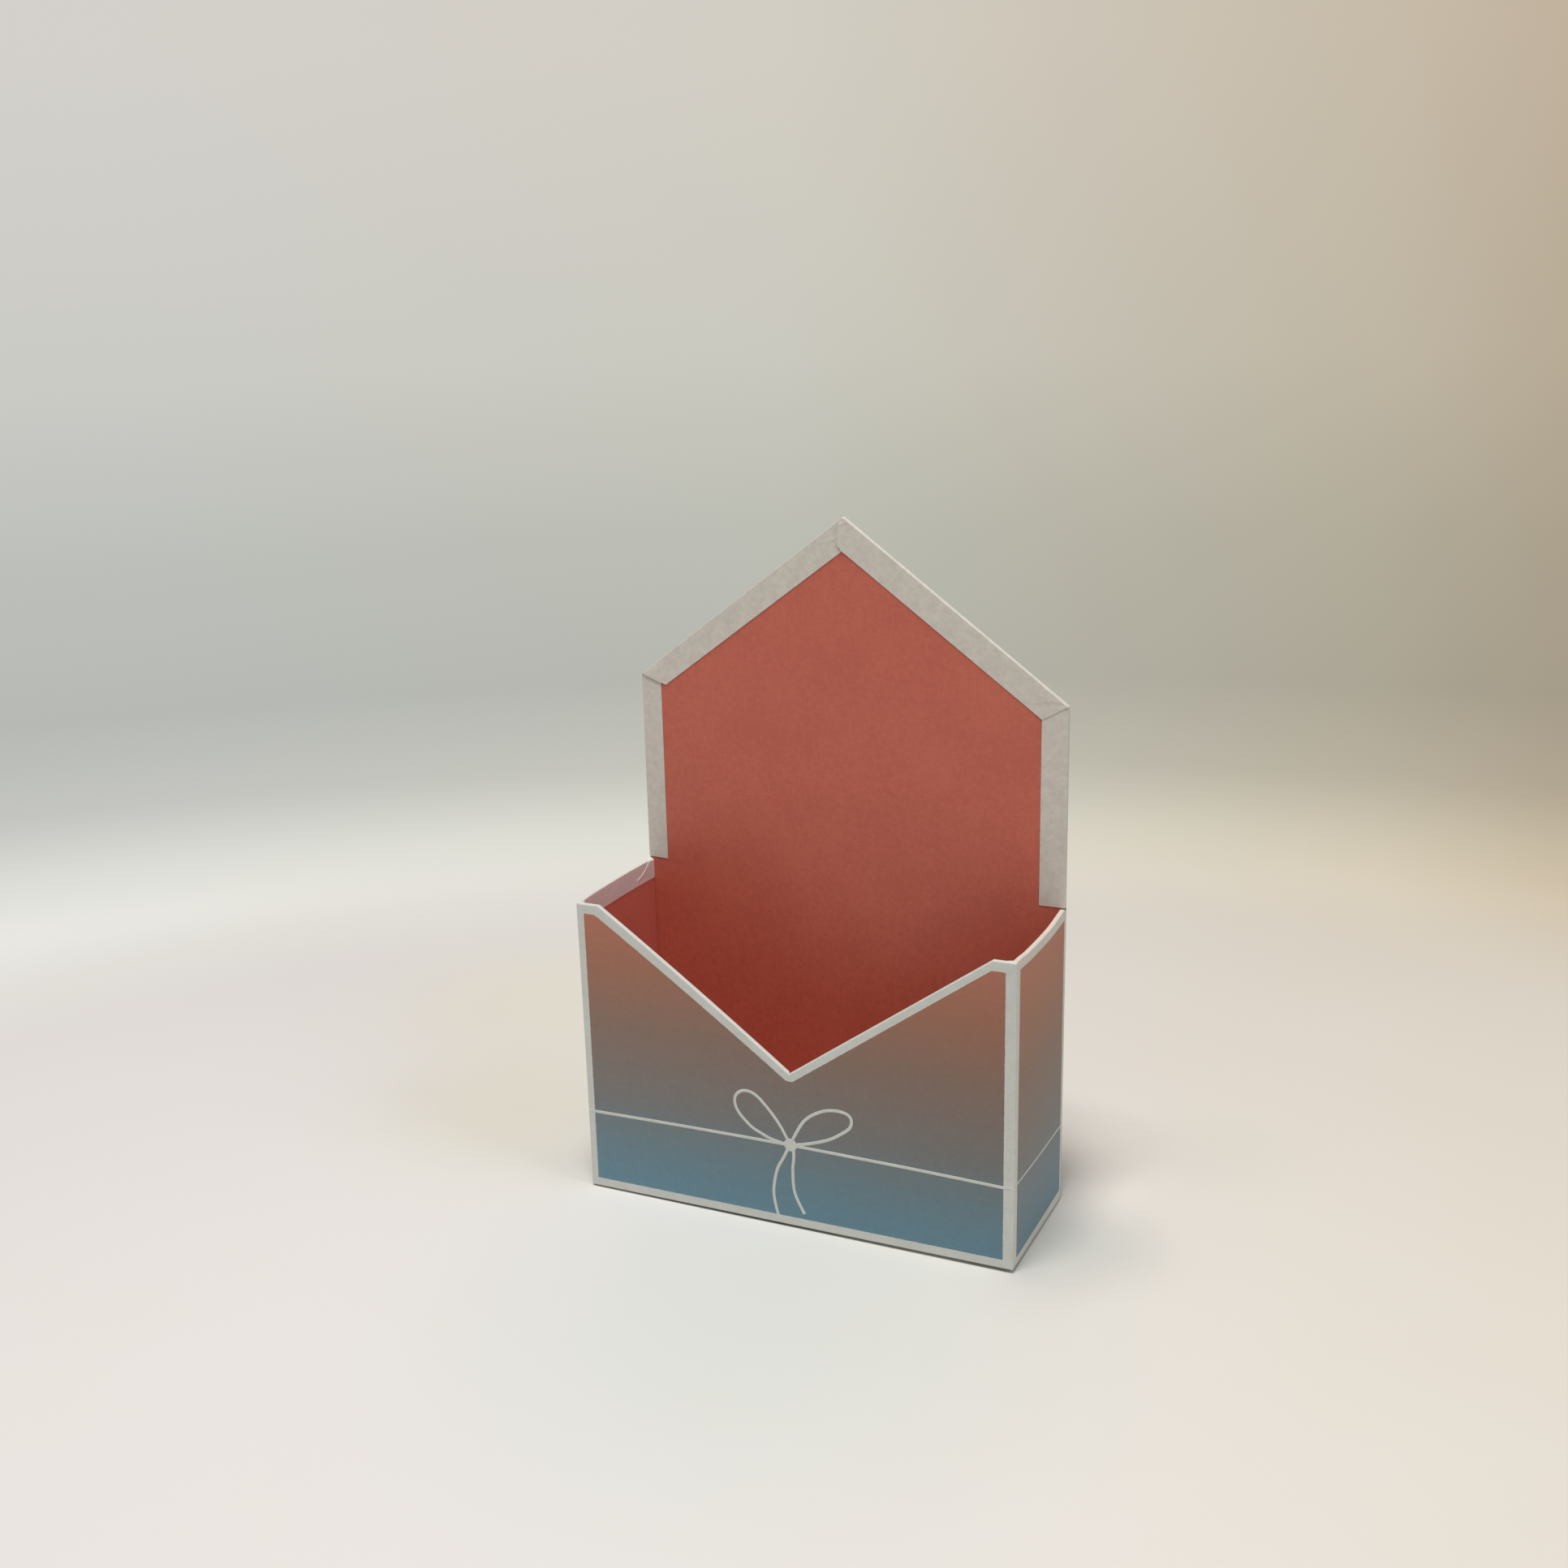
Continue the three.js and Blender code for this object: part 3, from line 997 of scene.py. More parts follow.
def mount(piece: bpy.types.Object, slot: str, *nodes: str) -> bpy.types.Object:
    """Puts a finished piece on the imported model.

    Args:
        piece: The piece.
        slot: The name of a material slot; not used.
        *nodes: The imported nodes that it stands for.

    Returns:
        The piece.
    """
    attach(piece, BODY)
    if nodes:
        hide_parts(*nodes)
    log.info("%s: %d faces", piece.name, len(piece.data.polygons))
    return piece


def spread(low: float, high: float, gap: float) -> list[float]:
    """Gives places a gap apart between two ends, without the ends.

    Args:
        low: The lower end.
        high: The higher end.
        gap: About how far apart they are.

    Returns:
        The places.
    """
    count = max(1, round((high - low) / gap))
    return [low + (high - low) * i / count for i in range(1, count)]


@dataclass(frozen=True)
class Crease:
    """A soft ridge where paper was once bent, on a line across and up its panel."""

    line: tuple[Point, ...]
    height: float
    width: float

    def rise(self, across: float, up: float) -> float:
        """Gives the ridge's height at a place.

        Args:
            across: The place across the panel.
            up: The place up the panel.

        Returns:
            The height.
        """
        here, nearest = Vector((across, up)), math.inf
        for start, end in zip(self.line, self.line[1:]):
            first, way = Vector(start), Vector(end) - Vector(start)
            share = min(1.0, max(0.0, (here - first).dot(way) / way.length_squared))
            nearest = min(nearest, (here - first - way * share).length)
        return self.height * math.exp(-((nearest / self.width) ** 2))


class Assembly(ABC):
    """Pieces that are built and dressed together."""

    @abstractmethod
    def build(self) -> list[bpy.types.Object]:
        """Builds the pieces.

        Returns:
            The finished pieces.
        """


@dataclass
class FrontWrap(Assembly):
    """Printed paper round the front and both sides, folded over their top edges and under the base."""

    materials: Sequence[bpy.types.Material]
    inside: float = 0.03
    thickness: float = 0.2
    radius: float = 0.6
    steps: int = 4
    grid: float = 2.75
    folded_face: float = 2.45
    turn_in: float = 12.0
    side_turn_in: float = 9.0
    turn_under: float = 15.0
    back_tab: float = 13.0
    tab_face: float = 37.25
    slit_gap: float = 0.9
    bow_start: Ease = Ease(103.0, 105.0)
    corner_spread: float = 0.95
    spread_start: Ease = Ease(100.0, 109.8)
    spread_front: Ease = Ease(-36.6, -37.3)
    spread_side: Ease = Ease(108.2, 109.6)
    spread_end: Ease = Ease(10.0, -37.0)
    arm_spring: float = 0.9
    arm_reach: float = 45.0
    fold_start: Ease = Ease(105.0, 106.0)
    outer_rise: float = 0.45
    outer_rise_start: Ease = Ease(-25.0, 25.0)
    inner_rise: float = 1.5
    rear_outer_rise: float = 2.0
    rear_inner_rise: float = 0.6
    rear_start: Ease = Ease(29.5, 34.2)
    corner_drop: float = 0.9
    corner_end: Ease = Ease(-34.0, -20.0)
    mitre_start: Ease = Ease(-0.05, 0.45)
    inner_margins: tuple[float, float] = (0.1, 0.3)
    right_rise: float = 0.85
    right_rise_start: Ease = Ease(10.0, 34.6)
    rise_start: Ease = Ease(141.0, 148.5)
    rise_end: Ease = Ease(35.1, 36.6)
    ear: float = 0.45
    ear_across: Ease = Ease(105.0, 107.5)
    ear_up: Ease = Ease(138.0, 149.0)
    ear_start: Ease = Ease(-37.3, -35.5)
    ear_end: Ease = Ease(-22.0, -30.0)
    waves: Waves = Waves(0.1, (0.021, 0.05, 0.024), start=7.0)
    wave_across: Ease = Ease(108.0, 90.0)
    wave_up: Ease = Ease(3.0, 20.0)
    corner_cuts: Sequence[float] = (-36.6, -36.2, -35.8, -35.4, -35.0, -34.6, -34.2, -33.8, -33.2)
    rear_cuts: Sequence[float] = (30.4, 31.4, 32.4, 33.2, 33.9, 34.5)

    def __post_init__(self) -> None:
        """Works out the outer faces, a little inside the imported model's."""
        self.x = SIZES.half_width - self.inside
        self.y = -SIZES.half_depth + self.inside
        self.top = SIZES.wall_height
        self.depth = self.folded_face - self.inside
        self.profile = edge_profile(self.radius, self.depth, self.steps)
        self.path = [
            (-self.x, self.top),
            (-SIZES.notch_reach, self.top),
            (0.0, SIZES.notch_height),
            (SIZES.notch_reach, self.top),
            (self.x, self.top),
        ]

    def _front_face(self, sheet: SheetMesh) -> None:
        """Adds the front's outer face, one half at a time.

        Args:
            sheet: The sheet.
        """
        edge, low = self.x - self.radius, SIZES.foot + self.radius
        path = inset_path(self.path, self.radius)
        for side in SIDES.values():
            outline = [(side * edge, low), (0, low), path[2], (side * abs(path[1][0]), path[1][1])]
            outline.append((side * edge, self.top - self.radius))
            sheet.face([(x, self.y, z) for x, z in outline], Panel.FRONT)

    def _notch_end(self, side: int, inset: float, depth: float) -> Point:
        """Gives where the fold of an arm ends beside the slit in the V.

        Args:
            side: -1 for the left arm, 1 for the right one.
            inset: How far below the edge the point is.
            depth: How far behind the front it is.

        Returns:
            The point, across and then up.
        """
        gap = self.slit_gap * Ease(self.radius, self.depth).at(depth)
        low = inset_path(self.path, inset)[2][1]
        return side * gap, low + gap * SIZES.notch_slope

    def _front_edge(self, sheet: SheetMesh) -> None:
        """Adds the paper over the front's top edge and its turn-in, on both sides of the slit.

        Args:
            sheet: The sheet.
        """
        for side in SIDES.values():
            lines = []
            for inset, depth in self.profile:
                path = inset_path(self.path, inset)
                end = self.x - max(depth, self.radius)
                points = [(side * end, self.top - inset), (side * abs(path[1][0]), path[1][1])]
                points.append(self._notch_end(side, inset, depth))
                lines.append([(x, self.y + depth, z) for x, z in points])
            sheet.ribbon(lines)
            angle = SIZES.notch_angle
            lower = inset_path(self.path, self.turn_in)
            fall = self.turn_in / math.cos(angle)
            knee = (side * abs(lower[1][0]), lower[1][1])
            cut = (side * fall * math.sin(2 * angle), SIZES.notch_height - fall * math.cos(2 * angle))
            end, high, tip = lines[-1]
            y = high[1]
            sheet.face([tip, high, (knee[0], y, knee[1]), (cut[0], y, cut[1])])
            sheet.face([high, end, (end[0], y, knee[1]), (knee[0], y, knee[1])])

    def _side_wall(self, sheet: SheetMesh, side: int) -> None:
        """Adds one side: its face, its corners, the fold over its top edge and its glue tab.

        Args:
            sheet: The sheet.
            side: -1 for the left side, 1 for the right one.
        """
        x, r, low = side * self.x, self.radius, SIZES.foot + self.radius
        near, stop, far = self.y + r, SIZES.bow_far, self.tab_face - r
        high = self.top - r
        sheet.face([(x, near, low), (x, stop, low), (x, stop, high), (x, near, high)], Panel.SIDE)
        rear = [(stop, low), (far, low), (far, self.top), (stop, self.top), (stop, high)]
        sheet.face([(x, y, z) for y, z in rear], Panel.SIDE)
        turns = quarter_turn(self.steps)
        inner = self.x - r
        front_fold, rear_fold = [], []
        for turn in turns:
            across = side * (inner + r * math.sin(turn))
            front_fold.append([(across, near - r * math.cos(turn), z) for z in (low, high)])
            rear_fold.append([(across, far + r * math.cos(turn), z) for z in (low, self.top)])
        sheet.ribbon(front_fold)
        sheet.ribbon(rear_fold)
        tab = side * (self.x - self.back_tab)
        rim = [(side * inner, low), (tab, low), (tab, self.top), (side * inner, self.top)]
        sheet.face([(across, self.tab_face, z) for across, z in rim])
        lines = []
        for inset, depth in self.profile:
            across, up = side * (self.x - depth), self.top - inset
            lines.append([(across, self.y + max(depth, r), up), (across, stop, up)])
        # The fold over the top edge takes a lighter white, a painted highlight.
        sheet.ribbon(lines, Panel.FOLD_LEFT if side < 0 else Panel.FOLD_RIGHT)
        (across, start, _), _ = lines[-1]
        ends = ((start, high), (stop, high), (stop, self.top - self.side_turn_in))
        ends += ((start, self.top - self.side_turn_in),)
        sheet.face([(across, y, z) for y, z in ends], Panel.TURNED)

    def _corner_cap(self, sheet: SheetMesh, side: int, rising: int) -> None:
        """Rounds the corner where three folds meet.

        Args:
            sheet: The sheet.
            side: -1 for the left corner, 1 for the right one.
            rising: 1 for the top corner, -1 for the bottom one.
        """
        r = self.radius
        high = self.top - r if rising > 0 else SIZES.foot + r
        centre = Vector((side * (self.x - r), self.y + r, high))
        turns = quarter_turn(self.steps)
        lines = []
        for lift in turns:
            flat, up = math.cos(lift), rising * math.sin(lift)
            spokes = [Vector((side * flat * math.sin(t), -flat * math.cos(t), up)) for t in turns]
            lines.append([tuple(centre + spoke * r) for spoke in spokes])
        sheet.ribbon(lines)

    def _under(self, sheet: SheetMesh) -> None:
        """Adds the folds along the bottom and the paper turned under the base.

        Args:
            sheet: The sheet.
        """
        r, low = self.radius, SIZES.foot
        inner, near, far = self.x - r, self.y + r, self.tab_face - r
        turns = quarter_turn(self.steps)
        sections = [(r * math.cos(t), low + r - r * math.sin(t)) for t in turns]
        sheet.ribbon([[(-inner, near - out, z), (inner, near - out, z)] for out, z in sections])
        deep = self.x - self.turn_under
        start = self.y + self.turn_under
        sheet.face([(-inner, near, low), (inner, near, low), (deep, start, low), (-deep, start, low)])
        for side in SIDES.values():
            lines = [[(side * (inner + out), y, z) for y in (near, far)] for out, z in sections]
            sheet.ribbon(lines)
            ends = ((inner, near), (inner, far), (deep, self.tab_face - self.turn_under), (deep, start))
            sheet.face([(side * across, y, low) for across, y in ends])

    def _corner_shift(self, x: float, y: float, z: float) -> float:
        """Gives how far the left front corner has sprung to the left, most at its top.

        Args:
            x: The place from left to right.
            y: The place from front to back.
            z: The height.

        Returns:
            The distance.
        """
        side = self.spread_side.at(-x) * self.spread_end.at(y)
        outer = max(self.spread_front.at(y), side)
        high = max(0.0, z / SIZES.wall_height)
        return self.corner_spread * self.spread_start.at(-x) * outer * high**2

    def _arm_rise(self, x: float, z: float) -> float:
        """Gives how far the left arm of the V has sprung up, most in its middle.

        Args:
            x: The place from left to right.
            z: The height.

        Returns:
            The distance.
        """
        share = -x / SIZES.notch_reach
        edge = SIZES.notch_height - x * SIZES.notch_slope
        return self.arm_spring * 4 * share * (1 - share) * Ease(edge - self.arm_reach, edge).at(z)

    def _left_rise(self, x: float, y: float) -> float:
        """Gives how far the fold over the left wall stands up. Its inner edge stands highest, but for
        its rear corner, where the outer edge does.

        Args:
            x: The place from left to right.
            y: The place from front to back.

        Returns:
            The distance.
        """
        behind = y - self.y - (x + self.x)
        start, shorter = self.inner_margins
        inner = min(1.0, max(0.0, (self.x + x - start) / (self.depth - shorter)))
        rear = self.rear_start.at(y)
        outer = self.outer_rise * self.outer_rise_start.at(y) * (1 - rear) + self.rear_outer_rise * rear
        outer -= self.corner_drop * (1 - self.corner_end.at(y))
        highest = self.inner_rise + (self.rear_inner_rise - self.inner_rise) * rear
        return (outer + inner * (highest - outer)) * self.mitre_start.at(behind) * self.fold_start.at(-x)

    def _right_rise(self, x: float, y: float) -> float:
        """Gives how far the fold over the right wall stands up, most at the back."""
        return self.right_rise * self.right_rise_start.at(y) * self.fold_start.at(x)

    def shift(self, point: Vector) -> Vector:
        """Gives how far the paper of this box has sprung from its true place.

        Args:
            point: A place on the sheet.

        Returns:
            The shift.
        """
        x, y, z = point
        bow = math.copysign(SIZES.bow_at(y, z), x) * self.bow_start.at(abs(x))
        move = Vector((bow, 0.0, 0.0))
        move.x -= self._corner_shift(x, y, z)
        move.x = max(move.x, -SIZES.side_bow)
        if -SIZES.notch_reach < x < 0 and y < 0:
            move.z += self._arm_rise(x, z)
        rise = self._left_rise(x, y) if x < 0 else self._right_rise(x, y)
        move.z += rise * self.rise_start.at(z) * (1 - self.rise_end.at(y))
        ear = self.ear_across.at(x) * self.ear_up.at(z)
        move.z += self.ear * ear * self.ear_start.at(y) * self.ear_end.at(y)
        if y < self.y + self.radius:
            move.y += self.waves.at(point) * (self.wave_across.at(abs(x)) * self.wave_up.at(z))
        return move

    def build(self) -> list[bpy.types.Object]:
        """Builds the sheet.

        Returns:
            The one piece.
        """
        sheet = SheetMesh("printed_paper_front_and_sides")
        self._front_face(sheet)
        self._front_edge(sheet)
        self._under(sheet)
        for side in SIDES.values():
            self._side_wall(sheet, side)
            self._corner_cap(sheet, side, 1)
            self._corner_cap(sheet, side, -1)
        sheet.join()
        sheet.cut(0, spread(-self.x, self.x, self.grid))
        sheet.cut(1, [*spread(self.y, self.tab_face, self.grid), *self.corner_cuts, *self.rear_cuts])
        sheet.cut(2, spread(SIZES.foot, self.top, self.grid))
        sheet.join()
        sheet.turn_out(Vector((0, -1, 0)), Panel.FRONT)
        sheet.lay_out()
        sheet.bend(self.shift)
        piece = sheet.finish(self.thickness, self.materials)
        return [mount(piece, "printed_paper", "printed_wrap")]


@dataclass
class BackWrap(Assembly):
    """Paper over the back, folded forwards over its upright edges and its gable, and under the base."""

    materials: Sequence[bpy.types.Material]
    inside: float = 0.03
    thickness: float = 0.2
    radius: float = 0.38
    steps: int = 3
    grid: float = 3.0
    folded_face: float = 34.8
    lap_face: float = 34.55
    gable_turn_in: dict[int, float] = field(default_factory=lambda: {-1: 12.55, 1: 13.3})
    gable_taper: dict[int, float] = field(default_factory=lambda: {-1: 0.0065, 1: 0.0035})
    turn_in: dict[int, float] = field(default_factory=lambda: {-1: 10.7, 1: 12.5})
    mitre: dict[int, float] = field(default_factory=lambda: {-1: 13.4, 1: 12.5})
    outer_tuck: float = 1.0
    inner_tuck: float = 1.2
    lap_margin: float = 0.3
    left_end: float = 0.6
    turn_under: float = 15.0
    ramp: float = 1.4
    seam: Sequence[Point] = (
        (-1.9, 326.6),
        (-2.4, 324.0),
        (-3.0, 321.6),
        (-3.5, 319.4),
        (-3.4, 317.3),
        (-2.8, 315.4),
        (-1.5, 314.1),
    )
    seam_lift: float = 0.3
    seam_start: Ease = Ease(0.0, -2.5)
    seam_free: Ease = Ease(0.4, 3.0)
    end_lift: dict[int, tuple[float, float]] = field(
        default_factory=lambda: {-1: (1.15, 0.7), 1: (0.5, 0.45)}
    )
    lift_across: Ease = Ease(0.0, 12.0)
    touch: float = 0.01
    strip_waves: Waves = Waves(0.05, (0.11, 0.0, 0.11), start=3.0)
    strip_reach: float = 0.3
    slope_free: Ease = Ease(1.0, 5.0)
    upright_free: Ease = Ease(1.0, 4.0)
    crease_free: Ease = Ease(0.4, 1.2)
    lap_reach: float = 0.05
    face_waves: Waves = Waves(0.09, (0.017, 0.0, 0.015), start=11.0)
    face_reach: float = 0.1
    face_free: Ease = Ease(1.0, 15.0)
    waves_from: float = 6.0
    fine_grid: float = 0.7
    fine_reach: float = 7.0
    fine_from: float = 309.0
    shoulder_band: tuple[float, float] = (239.0, 252.0)
    creases: Sequence[Crease] = (
        Crease(((-2.0, 325.3), (1.0, 326.3), (3.8, 326.9)), 0.16, 0.45),
        Crease(((-3.4, 319.4), (-6.0, 317.8), (-9.5, 317.4)), 0.08, 0.6),
        Crease(((93.0, 246.9), (100.0, 249.3), (108.6, 248.6)), 0.12, 0.6),
        Crease(((97.5, 243.2), (103.0, 245.6), (108.6, 246.4)), 0.12, 0.5),
        Crease(((-108.0, 249.2), (-103.0, 248.6), (-98.0, 250.4)), 0.08, 0.6),
    )

    def __post_init__(self) -> None:
        """Works out the outer faces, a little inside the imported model's."""
        self.x = SIZES.half_width - self.inside
        self.y = SIZES.half_depth - self.inside
        self.peak = SIZES.peak_height - self.inside
        self.depth = self.y - self.folded_face
        self.profile = edge_profile(self.radius, self.depth, self.steps)
        shoulder = self.edge_at(self.x)
        start = SIZES.fold_start
        self.path = [(-self.x, start), (-self.x, shoulder), (0.0, self.peak)]
        self.path += [(self.x, shoulder), (self.x, start)]
        self.under_gable = self.edge_at(self.x) - self.outer_tuck

    def edge_at(self, across: float, inset: float = 0.0) -> float:
        """Gives the height of the gable's edge.

        Args:
            across: The place across the back.
            inset: How far the edge is drawn in.

        Returns:
            The height.
        """
        return self.peak - abs(across) * SIZES.gable_slope - inset / SIZES.gable_cosine

    def _face(self, sheet: SheetMesh) -> None:
        """Adds the back's outer face and the fold at its foot.

        Args:
            sheet: The sheet.
        """
        r, x, start = self.radius, self.x, SIZES.fold_start
        low = SIZES.foot + r
        lower = [(-x, low), (x, low), (x, start), (x - r, start), (r - x, start), (-x, start)]
        upper = [(r - x, start), (x - r, start), *inset_path(self.path, r)[3:0:-1]]
        for outline in (lower, upper):
            sheet.face([(across, self.y, z) for across, z in outline], Panel.BACK)
        turns = quarter_turn(self.steps)
        sections = [(self.y - r + r * math.cos(t), low - r * math.sin(t)) for t in turns]
        sheet.ribbon([[(-x, y, z), (x, y, z)] for y, z in sections])
        deep, inner = self.y - self.turn_under, x - self.turn_under
        ends = ((-x, self.y - r), (x, self.y - r), (inner, deep), (-inner, deep))
        sheet.face([(across, y, SIZES.foot) for across, y in ends])

    def _edge(self, sheet: SheetMesh) -> None:
        """Adds the paper that goes over the upright edges and the gable.

        Args:
            sheet: The sheet.
        """
        lines = []
        for inset, depth in self.profile:
            lines.append([(x, self.y - depth, z) for x, z in inset_path(self.path, inset)])
        sheet.ribbon(lines)

    def _upright_strip(self, sheet: SheetMesh, side: int) -> None:
        """Adds the paper folded in over one upright edge.

        Args:
            sheet: The sheet.
            side: -1 for the left edge, 1 for the right one.
        """
        outer = self.x - self.radius
        edge = SIZES.half_width - self.turn_in[side]
        start = SIZES.fold_start
        outline = [(outer, start), (edge, start)]
        outline += [(edge, self.edge_at(edge) - self.inner_tuck), (outer, self.under_gable)]
        sheet.face([(side * across, self.folded_face, z) for across, z in outline])

    def _gable_strip(self, sheet: SheetMesh, side: int) -> None:
        """Adds the paper folded in over one sloping edge. Its lower end laps over the upright strip, and
        at the peak the right one laps over the left one.

        Args:
            sheet: The sheet.
            side: -1 for the left slope, 1 for the right one.
        """
        r, broad = self.radius, self.gable_turn_in[side]
        outer = self.x - r
        mitre = SIZES.half_width - self.mitre[side]
        shoulder = self.edge_at(outer, r)
        cut = (self.edge_at(mitre, broad - mitre * self.gable_taper[side]) - shoulder) / (outer - mitre)

        def low(across: float) -> float:
            """Gives the strip's lower edge.

            Args:
                across: The place across the back.

            Returns:
                The edge's height.
            """
            if across > mitre:
                return shoulder + cut * (outer - across)
            return self.edge_at(across, broad - across * self.gable_taper[side])

        lap = SIZES.half_width - self.turn_in[side] - self.lap_margin
        end = self.left_end if side < 0 else self.ramp
        places = [(outer, self.lap_face), (lap, self.lap_face), (lap - self.ramp, self.folded_face)]
        places += [(end, self.folded_face)]
        if side > 0:
            places.append((0.0, self.lap_face))
        if mitre < lap - self.ramp:
            places.insert(3, (mitre, self.folded_face))
        elif mitre < lap:
            share = (lap - mitre) / self.ramp
            places.insert(2, (mitre, self.lap_face + share * (self.folded_face - self.lap_face)))
        else:
            places.insert(1, (mitre, self.lap_face))
        for (here, y), (there, next_y) in zip(places, places[1:]):
            high, next_high = self.edge_at(here, r), self.edge_at(there, r)
            outline = [(here, y, low(here)), (there, next_y, low(there)), (there, next_y, next_high)]
            if high - low(here) > CUT_SNAP:
                outline.append((here, y, high))
            sheet.face([(side * across, depth, z) for across, depth, z in outline])
            rim = [(here, self.folded_face, high), (there, self.folded_face, next_high)]
            rim += [(there, next_y, next_high), (here, y, high)]
            rim = apart(rim)
            if len(rim) > 2:
                sheet.face([(side * across, depth, z) for across, depth, z in rim])
        if side > 0:
            under = self.gable_turn_in[-side]
            reach = (broad - under) / SIZES.gable_cosine / SIZES.gable_slope / 2
            lap_outline = [(0.0, self.edge_at(0, r)), *self.seam]
            lap_outline += [(-reach, self.edge_at(reach, under)), (0.0, low(0.0))]
            sheet.face([(across, self.lap_face, z) for across, z in lap_outline])

    def shift(self, point: Vector) -> Vector:
        """Gives how far the paper lies from its true place, in small waves and creases.

        Args:
            point: A place on the sheet.

        Returns:
            The shift.
        """
        x, y, z = point
        inwards = SIZES.half_width - abs(x)
        move = Vector((0.0, 0.0, 0.0))
        if abs(z - SIZES.fold_start) < self.touch and y < self.y - self.radius - self.touch:
            outer, inner = self.end_lift[1 if x > 0 else -1]
            move.z += outer + (inner - outer) * self.lift_across.at(inwards)
        if y < self.folded_face + self.strip_reach and z > SIZES.wall_height:
            drop = self.edge_at(x) - z
            free = self.slope_free.at(drop) * self.upright_free.at(inwards)
            move.y -= self.strip_waves.at(point) * free
            move.y -= sum(crease.rise(x, z) for crease in self.creases) * self.crease_free.at(drop)
            if y < self.lap_face + self.lap_reach and x < 0.0:
                move.y -= self.seam_lift * self.seam_start.at(x) * self.seam_free.at(drop)
        elif y > self.y - self.face_reach and z > self.waves_from:
            move.y -= self.face_waves.at(point) * self.face_free.at(inwards)
        return move

    def build(self) -> list[bpy.types.Object]:
        """Builds the sheet.

        Returns:
            The one piece.
        """
        sheet = SheetMesh("printed_paper_back")
        self._face(sheet)
        self._edge(sheet)
        for side in SIDES.values():
            self._upright_strip(sheet, side)
            self._gable_strip(sheet, side)
        sheet.join()
        fine = spread(-self.fine_reach, self.fine_reach, self.fine_grid)
        sheet.cut(0, [*spread(-self.x, self.x, self.grid), *fine])
        fine = spread(self.fine_from, self.peak, self.fine_grid)
        fine += spread(*self.shoulder_band, self.fine_grid)
        sheet.cut(2, [*spread(SIZES.foot, self.peak, self.grid), *fine, self.under_gable])
        sheet.join()
        sheet.turn_out(Vector((0, 1, 0)), Panel.BACK)
        sheet.lay_out()
        sheet.bend(self.shift)
        piece = sheet.finish(self.thickness, self.materials)
        return [mount(piece, "printed_paper", "back_wrap")]


@dataclass
class FlatLinings(Assembly):
    """The red sheets on the flat walls: the front's, cut to the V, and the back's, under the gable."""

    red: bpy.types.Material
    thickness: float = 0.2
    half_width: float = 108.0
    front_face: float = -35.3
    back_face: float = 35.05
    edge: float = 0.25
    gable_margin: float = 2.0
    grid: float = 5.0
    waves: Waves = Waves(0.12, (0.016, 1.0, 0.013), lift=0.2)
    gable_free: Ease = Ease(18.0, 30.0)
    side_free: Ease = Ease(16.0, 30.0)
    foot_free: Ease = Ease(5.0, 30.0)
    notch_free: Ease = Ease(-2.0, 20.0)

    def shift(self, point: Vector) -> Vector:
        """Gives how far a lining swells from its wall.

        Args:
            point: A place on the sheet.

        Returns:
            The shift.
        """
        x, y, z = point
        inwards = -math.copysign(1.0, y)
        drop = SIZES.peak_height - abs(x) * SIZES.gable_slope - z
        free = self.gable_free.at(drop) if y > 0 else 1.0
        free = free * self.side_free.at(SIZES.half_width - abs(x)) * self.foot_free.at(z)
        if y < 0:
            free *= self.notch_free.at(SIZES.notch_height - z)
        return Vector((0.0, inwards * self.waves.at(point) * free, 0.0))

    def _outline(self, end: int) -> list[list[Point]]:
        """Gives a lining's outline in two halves.

        Args:
            end: -1 for the front, 1 for the back.

        Returns:
            The halves' corners.
        """
        low = SIZES.lining_foot
        if end < 0:
            angle = SIZES.notch_angle
            top = SIZES.wall_height - self.edge
            middle = SIZES.notch_height - self.edge / math.cos(angle)
            reach = SIZES.notch_reach + self.edge * math.tan(angle / 2)
            half = [(0.0, low), (0.0, middle), (reach, top)]
            half += [(self.half_width, top), (self.half_width, low)]
        else:
            inset = (self.edge + self.gable_margin) / SIZES.gable_cosine
            peak = SIZES.peak_height - inset
            corner = peak - self.half_width * SIZES.gable_slope
            half = [(0.0, low), (0.0, peak), (self.half_width, corner), (self.half_width, low)]
        return [[(side * x, z) for x, z in half] for side in SIDES.values()]

    def build(self) -> list[bpy.types.Object]:
        """Builds both sheets.

        Returns:
            The two pieces.
        """
        pieces = []
        for name, end, face in (("front", -1, self.front_face), ("back", 1, self.back_face)):
            sheet = SheetMesh(f"red_lining_{name}")
            for outline in self._outline(end):
                sheet.face([(x, face, z) for x, z in outline])
            sheet.join()
            sheet.cut(0, spread(-self.half_width, self.half_width, self.grid))
            sheet.cut(2, spread(SIZES.lining_foot, SIZES.peak_height, self.grid))
            sheet.turn_out(Vector((0, -end, 0)), Panel.PLAIN)
            sheet.lay_out()
            sheet.bend(self.shift)
            piece = sheet.finish(self.thickness, [self.red])
            pieces.append(mount(piece, "red_paper", f"{name}_lining"))
        return pieces


